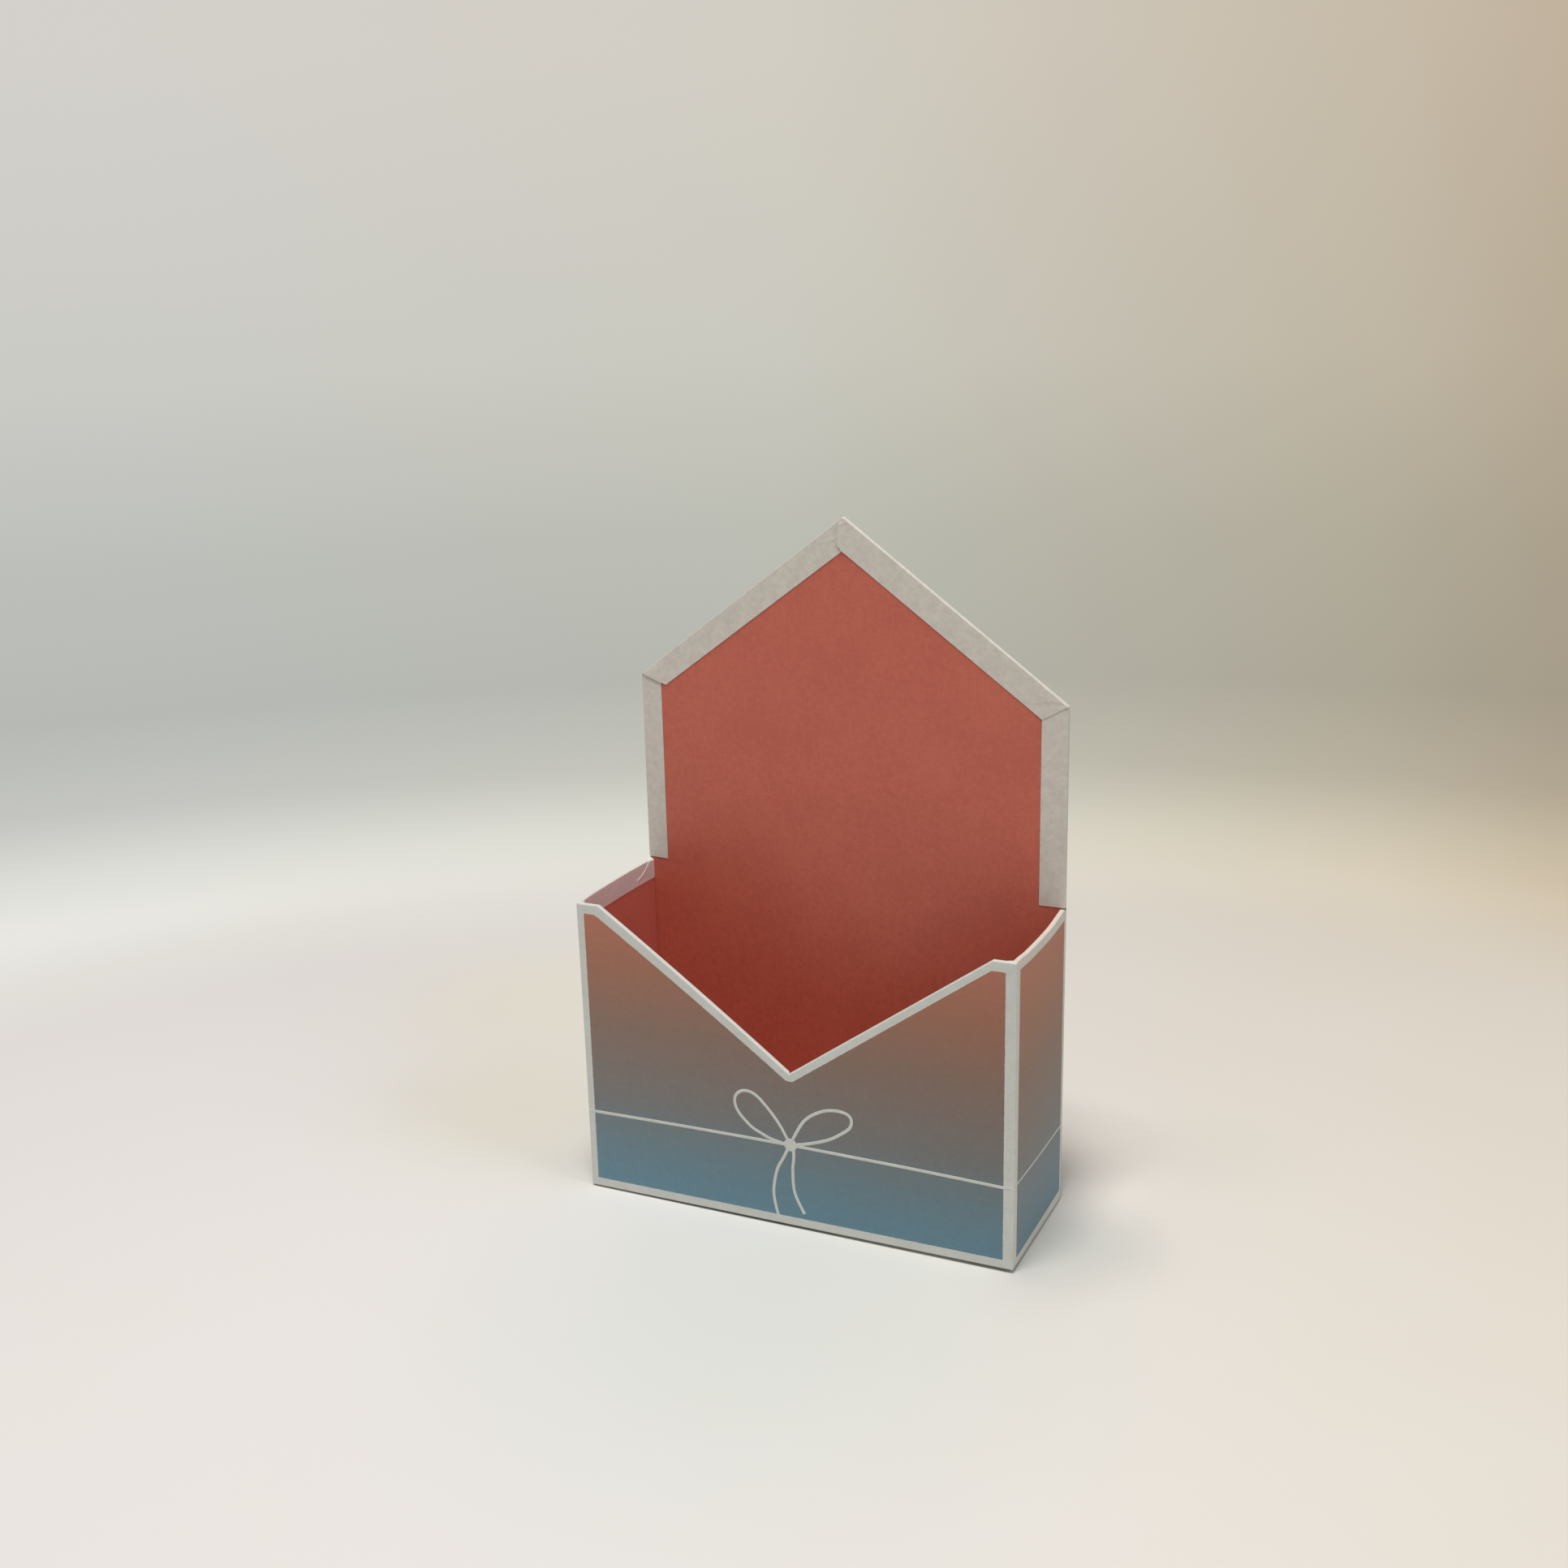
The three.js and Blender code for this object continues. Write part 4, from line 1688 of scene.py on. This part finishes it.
class GeometryTree(Nodes):
    """A Geometry Nodes tree with named inputs, which ends in plain mesh of one material."""

    def __init__(self, name: str, inputs: dict[str, str]) -> None:
        """Starts the tree.

        Args:
            name: The tree's name.
            inputs: The type of each named input's socket.
        """
        super().__init__(bpy.data.node_groups.new(name, "GeometryNodeTree"))
        faces = self.tree.interface
        faces.new_socket("Geometry", in_out="INPUT", socket_type="NodeSocketGeometry")
        for label, kind in inputs.items():
            faces.new_socket(label, in_out="INPUT", socket_type=kind)
        faces.new_socket("Geometry", in_out="OUTPUT", socket_type="NodeSocketGeometry")
        self.given = self.add("NodeGroupInput").outputs

    def number(self, label: str) -> Value:
        """Gives a named number.

        Args:
            label: The input's name.

        Returns:
            Its value.
        """
        return Value(self, self.given[label])

    def close(self, geometry: bpy.types.NodeSocket) -> None:
        """Ends the tree.

        Args:
            geometry: What it makes.
        """
        real = self.add("GeometryNodeRealizeInstances", None, {"Geometry": geometry})
        inputs = {"Geometry": real.outputs[0], "Material": self.given["Finish"]}
        dressed = self.add("GeometryNodeSetMaterial", None, inputs)
        self.add("NodeGroupOutput", None, {"Geometry": dressed.outputs[0]})

    def run(self, piece: bpy.types.Object, values: dict[str, object]) -> bpy.types.Object:
        """Runs the tree on an object and keeps the result as a plain mesh.

        Args:
            piece: The object that holds the tree's geometry.
            values: The named inputs' values.

        Returns:
            A new object with the result. The given one is removed.
        """
        modifier = piece.modifiers.new("nodes", "NODES")
        modifier.node_group = self.tree
        sockets = {item.name: item for item in self.tree.interface.items_tree if item.in_out == "INPUT"}
        for label, value in values.items():
            modifier[sockets[label].identifier] = value
        name, mesh = piece.name, evaluated(piece)
        bpy.data.objects.remove(piece)
        return add_object(name, mesh)


def close_shell(piece: bpy.types.Object) -> None:
    """Joins doubled corners and turns every face of a closed shell outwards.

    Args:
        piece: The piece.
    """
    bm = bmesh.new()
    bm.from_mesh(piece.data)
    bmesh.ops.remove_doubles(bm, verts=bm.verts, dist=SHELL_WELD)
    bmesh.ops.recalc_face_normals(bm, faces=bm.faces)
    for face in bm.faces:
        face.smooth = True
    bm.to_mesh(piece.data)
    bm.free()


@dataclass
class SideLinings(Assembly):
    """The red sheets on the two side walls, which follow the walls' bow by a rule."""

    red: bpy.types.Material
    face: float = 107.8
    thickness: float = 0.2
    near: float = -35.25
    far: float = 35.0
    high: float = 148.75
    columns: int = 25
    rows: int = 37

    def _lengths(self) -> dict[str, float]:
        """Gathers the tree's lengths.

        Returns:
            Each length by the name of its input.
        """
        return {
            "Near": self.near,
            "Far": self.far,
            "Low": SIZES.lining_foot,
            "High": self.high,
            "Face": self.face,
            "Bow": SIZES.side_bow,
            "Bow Near": SIZES.bow_near,
            "Bow Far": SIZES.bow_far,
            "Wall": SIZES.wall_height,
            "Thickness": self.thickness,
        }

    def _tree(self) -> GeometryTree:
        """Makes the tree that bends a flat sheet to a bowed wall and gives it its thickness.

        Returns:
            The tree.
        """
        inputs = dict.fromkeys((*self._lengths(), "Side"), "NodeSocketFloat")
        inputs |= dict.fromkeys(("Columns", "Rows"), "NodeSocketInt")
        tree = GeometryTree("bowed_sheet", inputs | {"Finish": "NodeSocketMaterial"})
        near, far, low, high = (tree.number(label) for label in ("Near", "Far", "Low", "High"))
        sizes = {"Size X": far - near, "Size Y": high - low}
        counts = {"Vertices X": tree.given["Columns"], "Vertices Y": tree.given["Rows"]}
        grid = tree.add("GeometryNodeMeshGrid", None, sizes | counts).outputs["Mesh"]
        flat = tree.add("GeometryNodeInputPosition").outputs[0]
        along, up, _ = tree.split(flat)
        y = along + (near + far) * 0.5
        z = up + (low + high) * 0.5
        bow_near, bow_far = tree.number("Bow Near"), tree.number("Bow Far")
        share = (y * 2.0 - bow_near - bow_far) / (bow_far - bow_near)
        bow = tree.number("Bow") * (1.0 - share * share).most(0.0) * z / tree.number("Wall")
        side = tree.number("Side")
        x = side * (tree.number("Face") + bow)
        place = tree.add("ShaderNodeCombineXYZ", None, {0: x, 1: y, 2: z}).outputs[0]
        wall = tree.add("GeometryNodeSetPosition", None, {"Geometry": grid, "Position": place}).outputs[0]
        away = tree.add("ShaderNodeCombineXYZ", None, {0: side}).outputs[0]
        inputs = {
            "Mesh": wall,
            "Offset": away,
            "Offset Scale": tree.number("Thickness"),
            "Individual": False,
        }
        outer = tree.add("GeometryNodeExtrudeMesh", {"mode": "FACES"}, inputs).outputs["Mesh"]
        both = tree.add("GeometryNodeJoinGeometry")
        tree.tree.links.new(outer, both.inputs[0])
        tree.tree.links.new(wall, both.inputs[0])
        tree.close(both.outputs[0])
        return tree

    def build(self) -> list[bpy.types.Object]:
        """Builds both sheets.

        Returns:
            The two pieces.
        """
        tree = self._tree()
        values = {label: length * MM for label, length in self._lengths().items()}
        values |= {"Columns": self.columns, "Rows": self.rows, "Finish": self.red}
        pieces = []
        for name, side in SIDES.items():
            blank = add_object(f"red_lining_{name}", bpy.data.meshes.new("blank"))
            piece = tree.run(blank, values | {"Side": float(side)})
            close_shell(piece)
            crease(piece)
            pieces.append(mount(piece, "red_paper", f"{name}_side_lining"))
        return pieces


def smooth_line(points: Sequence[Point], steps: int = 10) -> list[Point]:
    """Runs a smooth curve through points.

    Args:
        points: What it passes through.
        steps: Stretches between two points.

    Returns:
        The curve's points.
    """
    last = len(points) - 1
    curve = []
    for i in range(last):
        a, b, c, d = (Vector(points[min(max(j, 0), last)]) for j in range(i - 1, i + 3))
        for k in range(steps):
            t = k / steps
            bend = (2 * a - 5 * b + 4 * c - d) * t * t + (3 * b - a - 3 * c + d) * t**3
            curve.append(tuple(0.5 * (2 * b + (c - a) * t + bend)))
    return [*curve, points[-1]]


class StrokeTree(GeometryTree):
    """A tree that lays a stroke along a path: flat for ink, fuller for a raised crease."""

    ring_points: int = 10

    def __init__(self, spacing: float) -> None:
        """Builds the tree.

        Args:
            spacing: The gap between the stroke's rings, in millimetres.
        """
        inputs = dict.fromkeys(("Width", "Film", "Spacing"), "NodeSocketFloat")
        inputs |= {"Facing": "NodeSocketVector", "Finish": "NodeSocketMaterial"}
        super().__init__("stroke", inputs)
        self.spacing = spacing
        lengths = {"Curve": self.given["Geometry"], "Length": self.number("Spacing")}
        even = self.add("GeometryNodeResampleCurve", {"mode": "LENGTH"}, lengths)
        here = self.add("GeometryNodeInputPosition").outputs[0]
        kept = self.add("GeometryNodeCaptureAttribute", {"domain": "POINT"})
        kept.capture_items.new("VECTOR", "middle")
        self.feed(kept.inputs["Geometry"], even.outputs[0])
        self.feed(kept.inputs["middle"], here)
        width = self.number("Width")
        circle = {"Resolution": self.ring_points, "Radius": width * 0.5}
        ring = self.add("GeometryNodeCurvePrimitiveCircle", None, circle)
        inputs = {"Curve": kept.outputs["Geometry"], "Profile Curve": ring.outputs[0], "Fill Caps": True}
        tube = self.add("GeometryNodeCurveToMesh", None, inputs).outputs[0]
        away = self.vector("SUBTRACT", kept.outputs["middle"], here)
        facing = self.given["Facing"]
        depth = Value(self, self.vector("DOT_PRODUCT", away, facing))
        offset = self.scaled(facing, depth * (1.0 - self.number("Film") / width))
        inputs = {"Geometry": tube, "Offset": offset}
        self.close(self.add("GeometryNodeSetPosition", None, inputs).outputs[0])

    def draw(self, stroke: Stroke, finish: bpy.types.Material) -> bpy.types.Object:
        """Draws one stroke.

        Args:
            stroke: The stroke.
            finish: Its material.

        Returns:
            The stroke as a closed mesh.
        """
        curve = bpy.data.curves.new(stroke.name, "CURVE")
        curve.dimensions = "3D"
        spline = curve.splines.new("POLY")
        spline.points.add(len(stroke.places) - 1)
        for point, place in zip(spline.points, stroke.places):
            point.co = (*(c * MM for c in place), 1.0)
        spline.use_cyclic_u = stroke.closed
        path = add_object(stroke.name, curve)
        values = {"Width": stroke.width * MM, "Film": stroke.film * MM, "Spacing": self.spacing * MM}
        piece = self.run(path, values | {"Facing": stroke.facing, "Finish": finish})
        close_shell(piece)
        return piece


@dataclass(frozen=True)
class Stroke:
    """A line laid on a face of the box."""

    name: str
    places: Sequence[Sequence[float]]
    facing: tuple[float, float, float]
    width: float
    film: float
    closed: bool = False


@dataclass
class TurnInWrinkles(Assembly):
    """Two fine wrinkles in the paper turned in over the left wall, near the back, in a brighter white
    that paints in their lit ridges.
    """

    white: bpy.types.Material
    tree: StrokeTree
    face: float = 107.5
    film: float = 0.3
    widths: tuple[float, float] = (0.42, 0.3)
    long_line: Sequence[Point] = (
        (30.0, 150.2),
        (28.6, 148.9),
        (27.2, 147.4),
        (26.4, 146.4),
        (23.9, 145.1),
        (20.1, 143.6),
        (17.9, 143.0),
    )
    short_line: Sequence[Point] = ((31.1, 150.2), (29.8, 148.5), (28.1, 146.9))

    def build(self) -> list[bpy.types.Object]:
        """Builds the wrinkles.

        Returns:
            The two pieces.
        """
        pieces = []
        lines = zip(self.widths, (self.long_line, self.short_line))
        for number, (width, line) in enumerate(lines, start=1):
            places = [(-self.face - SIZES.bow_at(y, z), y, z) for y, z in smooth_line(line)]
            stroke = Stroke(f"turn_in_wrinkle_{number}", places, (1.0, 0.0, 0.0), width, self.film)
            pieces.append(mount(self.tree.draw(stroke, self.white), "white_paper"))
        return pieces


@dataclass
class RibbonPrint(Assembly):
    """The white line printed round the box at the ribbon's height, and the bow drawn on the front."""

    white: bpy.types.Material
    tree: StrokeTree
    wrap: FrontWrap
    film: float = 0.05
    front: float = -37.47
    side: float = 109.97
    stroke: float = 1.6
    side_stroke: float = 0.9
    front_line: Sequence[Point] = (
        (-109.4, 40.6),
        (-80.0, 41.2),
        (-50.0, 41.7),
        (0.0, 42.1),
        (52.0, 41.8),
        (80.0, 41.4),
        (109.4, 40.85),
    )
    side_line: Sequence[Point] = ((-37.0, 41.6), (0.0, 40.7), (36.8, 39.9))
    left_loop: Sequence[Point] = (
        (-0.9, 43.6),
        (-5.6, 51.8),
        (-12.0, 59.6),
        (-18.1, 64.9),
        (-23.4, 66.0),
        (-27.4, 63.9),
        (-28.8, 59.8),
        (-26.9, 54.5),
        (-20.6, 48.3),
        (-14.8, 45.4),
        (-9.5, 43.4),
        (-2.0, 42.2),
    )
    right_loop: Sequence[Point] = (
        (0.7, 44.4),
        (7.1, 55.7),
        (15.0, 61.7),
        (22.4, 63.9),
        (28.6, 63.4),
        (31.2, 60.9),
        (30.6, 56.8),
        (27.0, 53.4),
        (19.8, 48.6),
        (9.7, 44.7),
        (2.0, 42.6),
    )
    left_tail: Sequence[Point] = (
        (-1.3, 40.4),
        (-3.6, 35.4),
        (-7.3, 28.0),
        (-9.3, 17.9),
        (-8.7, 10.5),
        (-7.0, 3.6),
    )
    right_tail: Sequence[Point] = ((1.5, 40.4), (1.5, 35.2), (0.9, 29.0), (1.7, 17.7), (6.6, 7.4))
    knot: Point = (-0.1, 42.2)
    knot_radius: float = 3.35
    knot_points: int = 24

    def _laid(self, *place: float) -> Vector:
        """Gives where a point of the flat wrap lies on the sprung paper."""
        point = Vector(place)
        return point + self.wrap.shift(point)

    def _strokes(self) -> list[Stroke]:
        """Lays out every stroke.

        Returns:
            The front's line and bow, the sides' lines and the back's.
        """
        turns = [2 * math.pi * i / self.knot_points for i in range(self.knot_points)]
        across, up = self.knot
        ring = self.knot_radius / 2
        knot = [(across + ring * math.cos(t), up + ring * math.sin(t)) for t in turns]
        lines = {
            "ribbon_line_front": self.front_line,
            "bow_loop_left": self.left_loop,
            "bow_loop_right": self.right_loop,
            "bow_tail_left": self.left_tail,
            "bow_tail_right": self.right_tail,
        }
        front, side = (0.0, 1.0, 0.0), (1.0, 0.0, 0.0)
        strokes = []
        for name, line in lines.items():
            places = [self._laid(x, self.front, z) for x, z in smooth_line(line)]
            strokes.append(Stroke(name, places, front, self.stroke, self.film))
        places = [self._laid(x, self.front, z) for x, z in knot]
        strokes.append(Stroke("bow_knot", places, front, self.knot_radius, self.film, closed=True))
        for name, sign in SIDES.items():
            places = [self._laid(sign * self.side, y, z) for y, z in smooth_line(self.side_line)]
            strokes.append(Stroke(f"ribbon_line_{name}", places, side, self.side_stroke, self.film))
        ends = (self.front_line[0][0], self.front_line[-1][0])
        back = [(x, -self.front, self.side_line[-1][1]) for x in ends]
        strokes.append(Stroke("ribbon_line_back", back, front, self.side_stroke, self.film))
        return strokes

    def build(self) -> list[bpy.types.Object]:
        """Builds every stroke.

        Returns:
            The pieces.
        """
        return [mount(self.tree.draw(stroke, self.white), "printed_paper") for stroke in self._strokes()]


@dataclass
class Carcass(Assembly):
    """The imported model's own sheets that stay as they are, and their finishes."""

    board: bpy.types.Material
    tape: bpy.types.Material
    red: bpy.types.Material
    under: bpy.types.Material

    def build(self) -> list[bpy.types.Object]:
        """Dresses the nodes.

        Returns:
            The nodes.
        """
        finishes = {
            "board": self.board,
            "stay": self.tape,
            "base_lining": self.red,
            "base_sheet": self.under,
        }
        dressed = []
        for name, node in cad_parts.items():
            if node.hide_render:
                continue
            for part, material in finishes.items():
                if part in name:
                    node.data.materials.clear()
                    node.data.materials.append(material)
                    dressed.append(node)
                    log.info("%s: dressed in %s", name, material.name)
        return dressed


@dataclass(frozen=True)
class Lamp:
    """A large soft round lamp. Lengths are in metres."""

    name: str
    place: tuple[float, float, float]
    size: float
    power: float
    tint: Colour

    def hang(self, target: Vector) -> None:
        """Hangs the lamp.

        Args:
            target: What it is aimed at.
        """
        light = bpy.data.lights.new(self.name, "AREA")
        light.shape = "DISK"
        light.size = self.size
        light.energy = self.power
        light.color = self.tint
        lamp = add_object(self.name, light)
        lamp.location = self.place
        lamp.rotation_euler = (target - Vector(self.place)).to_track_quat("-Z", "Y").to_euler()


@dataclass(frozen=True)
class PaintedFloorLightAndShade:
    """A round or oval stretch of the floor whose tint paints light and shade there: shadow where it is
    below 1, light where it is above. Lengths are in metres.
    """

    place: tuple[float, float]
    radius: float
    tint: Colour
    stretch: float = 1.0


@dataclass
class Studio:
    """The floor, the pale room, the lamps and the camera. Lengths are in metres, but the lens and its
    sensor are in millimetres, as is the size of the floor's clouds."""

    floor_radius: float = 1.6
    floor_edge: int = 96
    floor_level: float = -0.001
    floor_tilt: float = 0.0036
    floor_rise: float = 0.006
    floor_cool: Colour = srgb(231, 227, 225)
    # Painted warm light: the floor grows warmer towards the camera's right.
    floor_warm_lit: Colour = srgb(226, 218, 206)
    floor_warm_light_span: tuple[float, float] = (-0.15, 0.45)
    floor_cloud: float = 90.0
    floor_clouding: float = 0.25
    floor_roughness: float = 0.85
    floor_shine: float = 0.1
    # Painted light and shade on the floor: shadow beside the right wall and at the corners, lightened
    # shadow behind the right rear, a dark contact-shadow line along the front edge, a cool tint of light
    # bounced off the front and a yellower shade at the left.
    painted_floor_light_and_shade: tuple[PaintedFloorLightAndShade, ...] = (
        PaintedFloorLightAndShade((0.02, -0.13), 0.22, (0.90, 0.965, 0.955)),
        PaintedFloorLightAndShade((-0.19, 0.02), 0.13, (0.985, 0.985, 0.90)),
        PaintedFloorLightAndShade((0.118, -0.042), 0.045, (0.93, 0.93, 0.94)),
        PaintedFloorLightAndShade((0.13, 0.0), 0.06, (0.81, 0.845, 0.86)),
        PaintedFloorLightAndShade((0.112, 0.05), 0.045, (1.09, 1.09, 1.09)),
        PaintedFloorLightAndShade((0.098, 0.10), 0.045, (1.16, 1.15, 1.14)),
        PaintedFloorLightAndShade((0.113, -0.033), 0.018, (0.92, 0.93, 0.94)),
        PaintedFloorLightAndShade((-0.128, -0.02), 0.032, (0.96, 0.97, 0.96)),
        PaintedFloorLightAndShade((0.16, 0.11), 0.07, (0.96, 0.97, 0.97)),
        PaintedFloorLightAndShade((-0.25, 0.17), 0.17, (1.0, 0.99, 0.90)),
        PaintedFloorLightAndShade((0.0, -0.075), 0.09, (0.98, 0.98, 0.98)),
        PaintedFloorLightAndShade((-0.03, -0.034), 0.0045, (0.3, 0.3, 0.3), stretch=22.0),
    )
    fade_place: tuple[float, float] = (0.144, -0.308)
    fade_near: float = 0.70
    fade_far: float = 0.96
    room: float = 0.25
    room_left: Colour = (1.0, 0.995, 0.98)
    room_right: Colour = (1.0, 0.95, 0.86)
    # Painted light and shade of the sweep behind the box: its upright wall darker than the floor's far
    # edge, and a warm glow towards the right.
    backdrop: tuple[Stop, ...] = (
        (0.185, srgb(235, 234, 228)),
        (0.212, srgb(220, 221, 215)),
        (0.240, srgb(197, 198, 193)),
        (0.285, srgb(183, 185, 181)),
        (0.360, srgb(189, 191, 186)),
        (0.450, srgb(203, 203, 198)),
        (0.600, srgb(211, 208, 203)),
    )
    backdrop_tints: tuple[Stop, ...] = (
        (0.34, (1.0, 1.0, 1.0)),
        (0.50, (0.99, 0.975, 0.92)),
        (0.65, (0.87, 0.78, 0.65)),
        (0.69, (0.80, 0.68, 0.54)),
        (0.80, (0.95, 0.93, 0.88)),
    )
    lamps: tuple[Lamp, ...] = (
        Lamp("studio_lamp_over", (0.01, -0.53, 2.4), 0.7, 43.3, (1.0, 0.985, 0.955)),
        Lamp("studio_lamp_right", (1.5, -0.25, 1.3), 0.9, 6.0, (0.82, 0.92, 1.0)),
    )
    lamp_target: tuple[float, float, float] = (0.0, 0.0, 0.1)
    camera_place: tuple[float, float, float] = (0.3437, -0.7730, 0.4463)
    camera_right: tuple[float, float, float] = (0.9086, 0.4171, -0.0212)
    camera_up: tuple[float, float, float] = (-0.0939, 0.2534, 0.9628)
    lens: float = 43.34
    sensor: float = 36.0
    nearest: float = 0.01
    farthest: float = 50.0

    def _floor_material(self) -> bpy.types.Material:
        """Makes the floor's material, with painted light and shade, which melts into the room for the
        camera alone.

        Returns:
            The material.
        """
        material = bpy.data.materials.new("studio_floor")
        nodes = Nodes.of(material)
        place = nodes.add("ShaderNodeTexCoord").outputs["Object"]
        cloud = nodes.grain(place, self.floor_cloud, detail=3.0)
        aside = Value(nodes, nodes.vector("DOT_PRODUCT", place, self.camera_right))
        # Painted warm light, stronger towards the camera's right, broken by clouds.
        warm_light = aside.step(*self.floor_warm_light_span) + (cloud - 0.5) * self.floor_clouding
        colour = nodes.mix(warm_light.share(), self.floor_cool, self.floor_warm_lit)
        x, y, _ = nodes.split(place)

        def away(place: tuple[float, float], stretch: float = 1.0) -> Value:
            """Gives a floor point's distance from a place, less across where it is stretched."""
            across, along = (x - place[0]) / stretch, y - place[1]
            return nodes.math("SQRT", across * across + along * along)

        # Painted light and shade: each patch tints the floor where the box's shadows and bounced light
        # fall.
        for patch in self.painted_floor_light_and_shade:
            share = 1.0 - away(patch.place, patch.stretch).step(0.0, patch.radius)
            colour = nodes.mix(share, colour, patch.tint, "MULTIPLY")
        seen = Value(nodes, nodes.add("ShaderNodeLightPath").outputs["Is Camera Ray"])
        gone = away(self.fade_place).step(self.fade_near, self.fade_far) * seen
        inputs = {
            "Base Color": colour,
            "Roughness": self.floor_roughness,
            "Specular IOR Level": self.floor_shine,
            "Alpha": 1.0 - gone,
        }
        shader = nodes.add("ShaderNodeBsdfPrincipled", None, inputs)
        nodes.add("ShaderNodeOutputMaterial", None, {"Surface": shader.outputs[0]})
        return material

    def _floor(self) -> None:
        """Makes the floor, a round sheet under the box."""
        bm = bmesh.new()
        bmesh.ops.create_circle(bm, cap_ends=True, segments=self.floor_edge, radius=self.floor_radius)
        for vert in bm.verts:
            behind = vert.co.y + SIZES.half_depth * MM
            vert.co.z = self.floor_level - vert.co.x * self.floor_tilt + behind * self.floor_rise
        mesh = bpy.data.meshes.new("studio_floor")
        bm.to_mesh(mesh)
        bm.free()
        mesh.materials.append(self._floor_material())
        add_object("studio_floor", mesh)

    def _room(self) -> None:
        """Makes the room's even light, and the pale backdrop that the camera sees, on which light and
        shade are painted.
        """
        world = bpy.data.worlds.new("studio_room")
        bpy.context.scene.world = world
        nodes = Nodes.of(world)
        way = nodes.add("ShaderNodeTexCoord").outputs["Generated"]
        _, _, up = nodes.split(way)
        aside = Value(nodes, nodes.vector("DOT_PRODUCT", way, self.camera_right)) * 0.5 + 0.5
        shade, tint = nodes.ramp(self.backdrop, up + 0.5), nodes.ramp(self.backdrop_tints, aside)
        seen = nodes.mix(1.0, shade, tint, "MULTIPLY")
        background = nodes.add("ShaderNodeBackground", None, {"Color": seen, "Strength": 1.0})
        even = nodes.mix(aside, self.room_left, self.room_right)
        light = nodes.add("ShaderNodeBackground", None, {"Color": even, "Strength": self.room})
        rays = nodes.add("ShaderNodeLightPath").outputs["Is Camera Ray"]
        inputs = {0: rays, 1: light.outputs[0], 2: background.outputs[0]}
        shown = nodes.add("ShaderNodeMixShader", None, inputs)
        nodes.add("ShaderNodeOutputWorld", None, {"Surface": shown.outputs[0]})

    def _camera(self) -> None:
        """Stands the camera where the photograph was taken from."""
        data = bpy.data.cameras.new("studio_camera")
        data.lens = self.lens
        data.sensor_width = self.sensor
        data.clip_start, data.clip_end = self.nearest, self.farthest
        right, up = Vector(self.camera_right).normalized(), Vector(self.camera_up).normalized()
        back = right.cross(up).normalized()
        up = back.cross(right).normalized()
        camera = add_object("studio_camera", data)
        turn = Matrix((right, up, back)).transposed().to_4x4()
        camera.matrix_world = Matrix.Translation(self.camera_place) @ turn
        bpy.context.scene.camera = camera

    def build(self) -> None:
        """Makes the whole studio."""
        self._floor()
        self._room()
        for lamp in self.lamps:
            lamp.hang(Vector(self.lamp_target))
        self._camera()
        bpy.context.scene.view_settings.view_transform = "Standard"


def main() -> None:
    """Builds and dresses the box, and sets up the studio."""
    logging.basicConfig(level=logging.INFO, format="%(name)s %(message)s")
    palette = Palette()
    white, red = palette.white.material(), palette.red.material()
    papers = [white, *(paper.material() for paper in palette.printed())]
    # Materials with painted light: the turn-ins' pink bounce and the top folds' highlights.
    folds = [finish.material() for finish in (palette.turned, palette.fold_left_highlight, palette.fold_right_highlight)]
    strokes = StrokeTree(spacing=0.8)
    wrap = FrontWrap([*papers, *folds])
    assemblies: list[Assembly] = [
        wrap,
        BackWrap([palette.folded.material(), *papers[1:]]),
        FlatLinings(red),
        SideLinings(palette.red_side_lit.material()),
        TurnInWrinkles(palette.ridge_highlight.material(), strokes),
        RibbonPrint(white, strokes, wrap),
        Carcass(palette.board.material(), palette.tape.material(), red, palette.under.material()),
    ]
    for assembly in assemblies:
        pieces = assembly.build()
        log.info("%s made %d pieces", type(assembly).__name__, len(pieces))
    Studio().build()


if __name__ == "__main__":
    main()
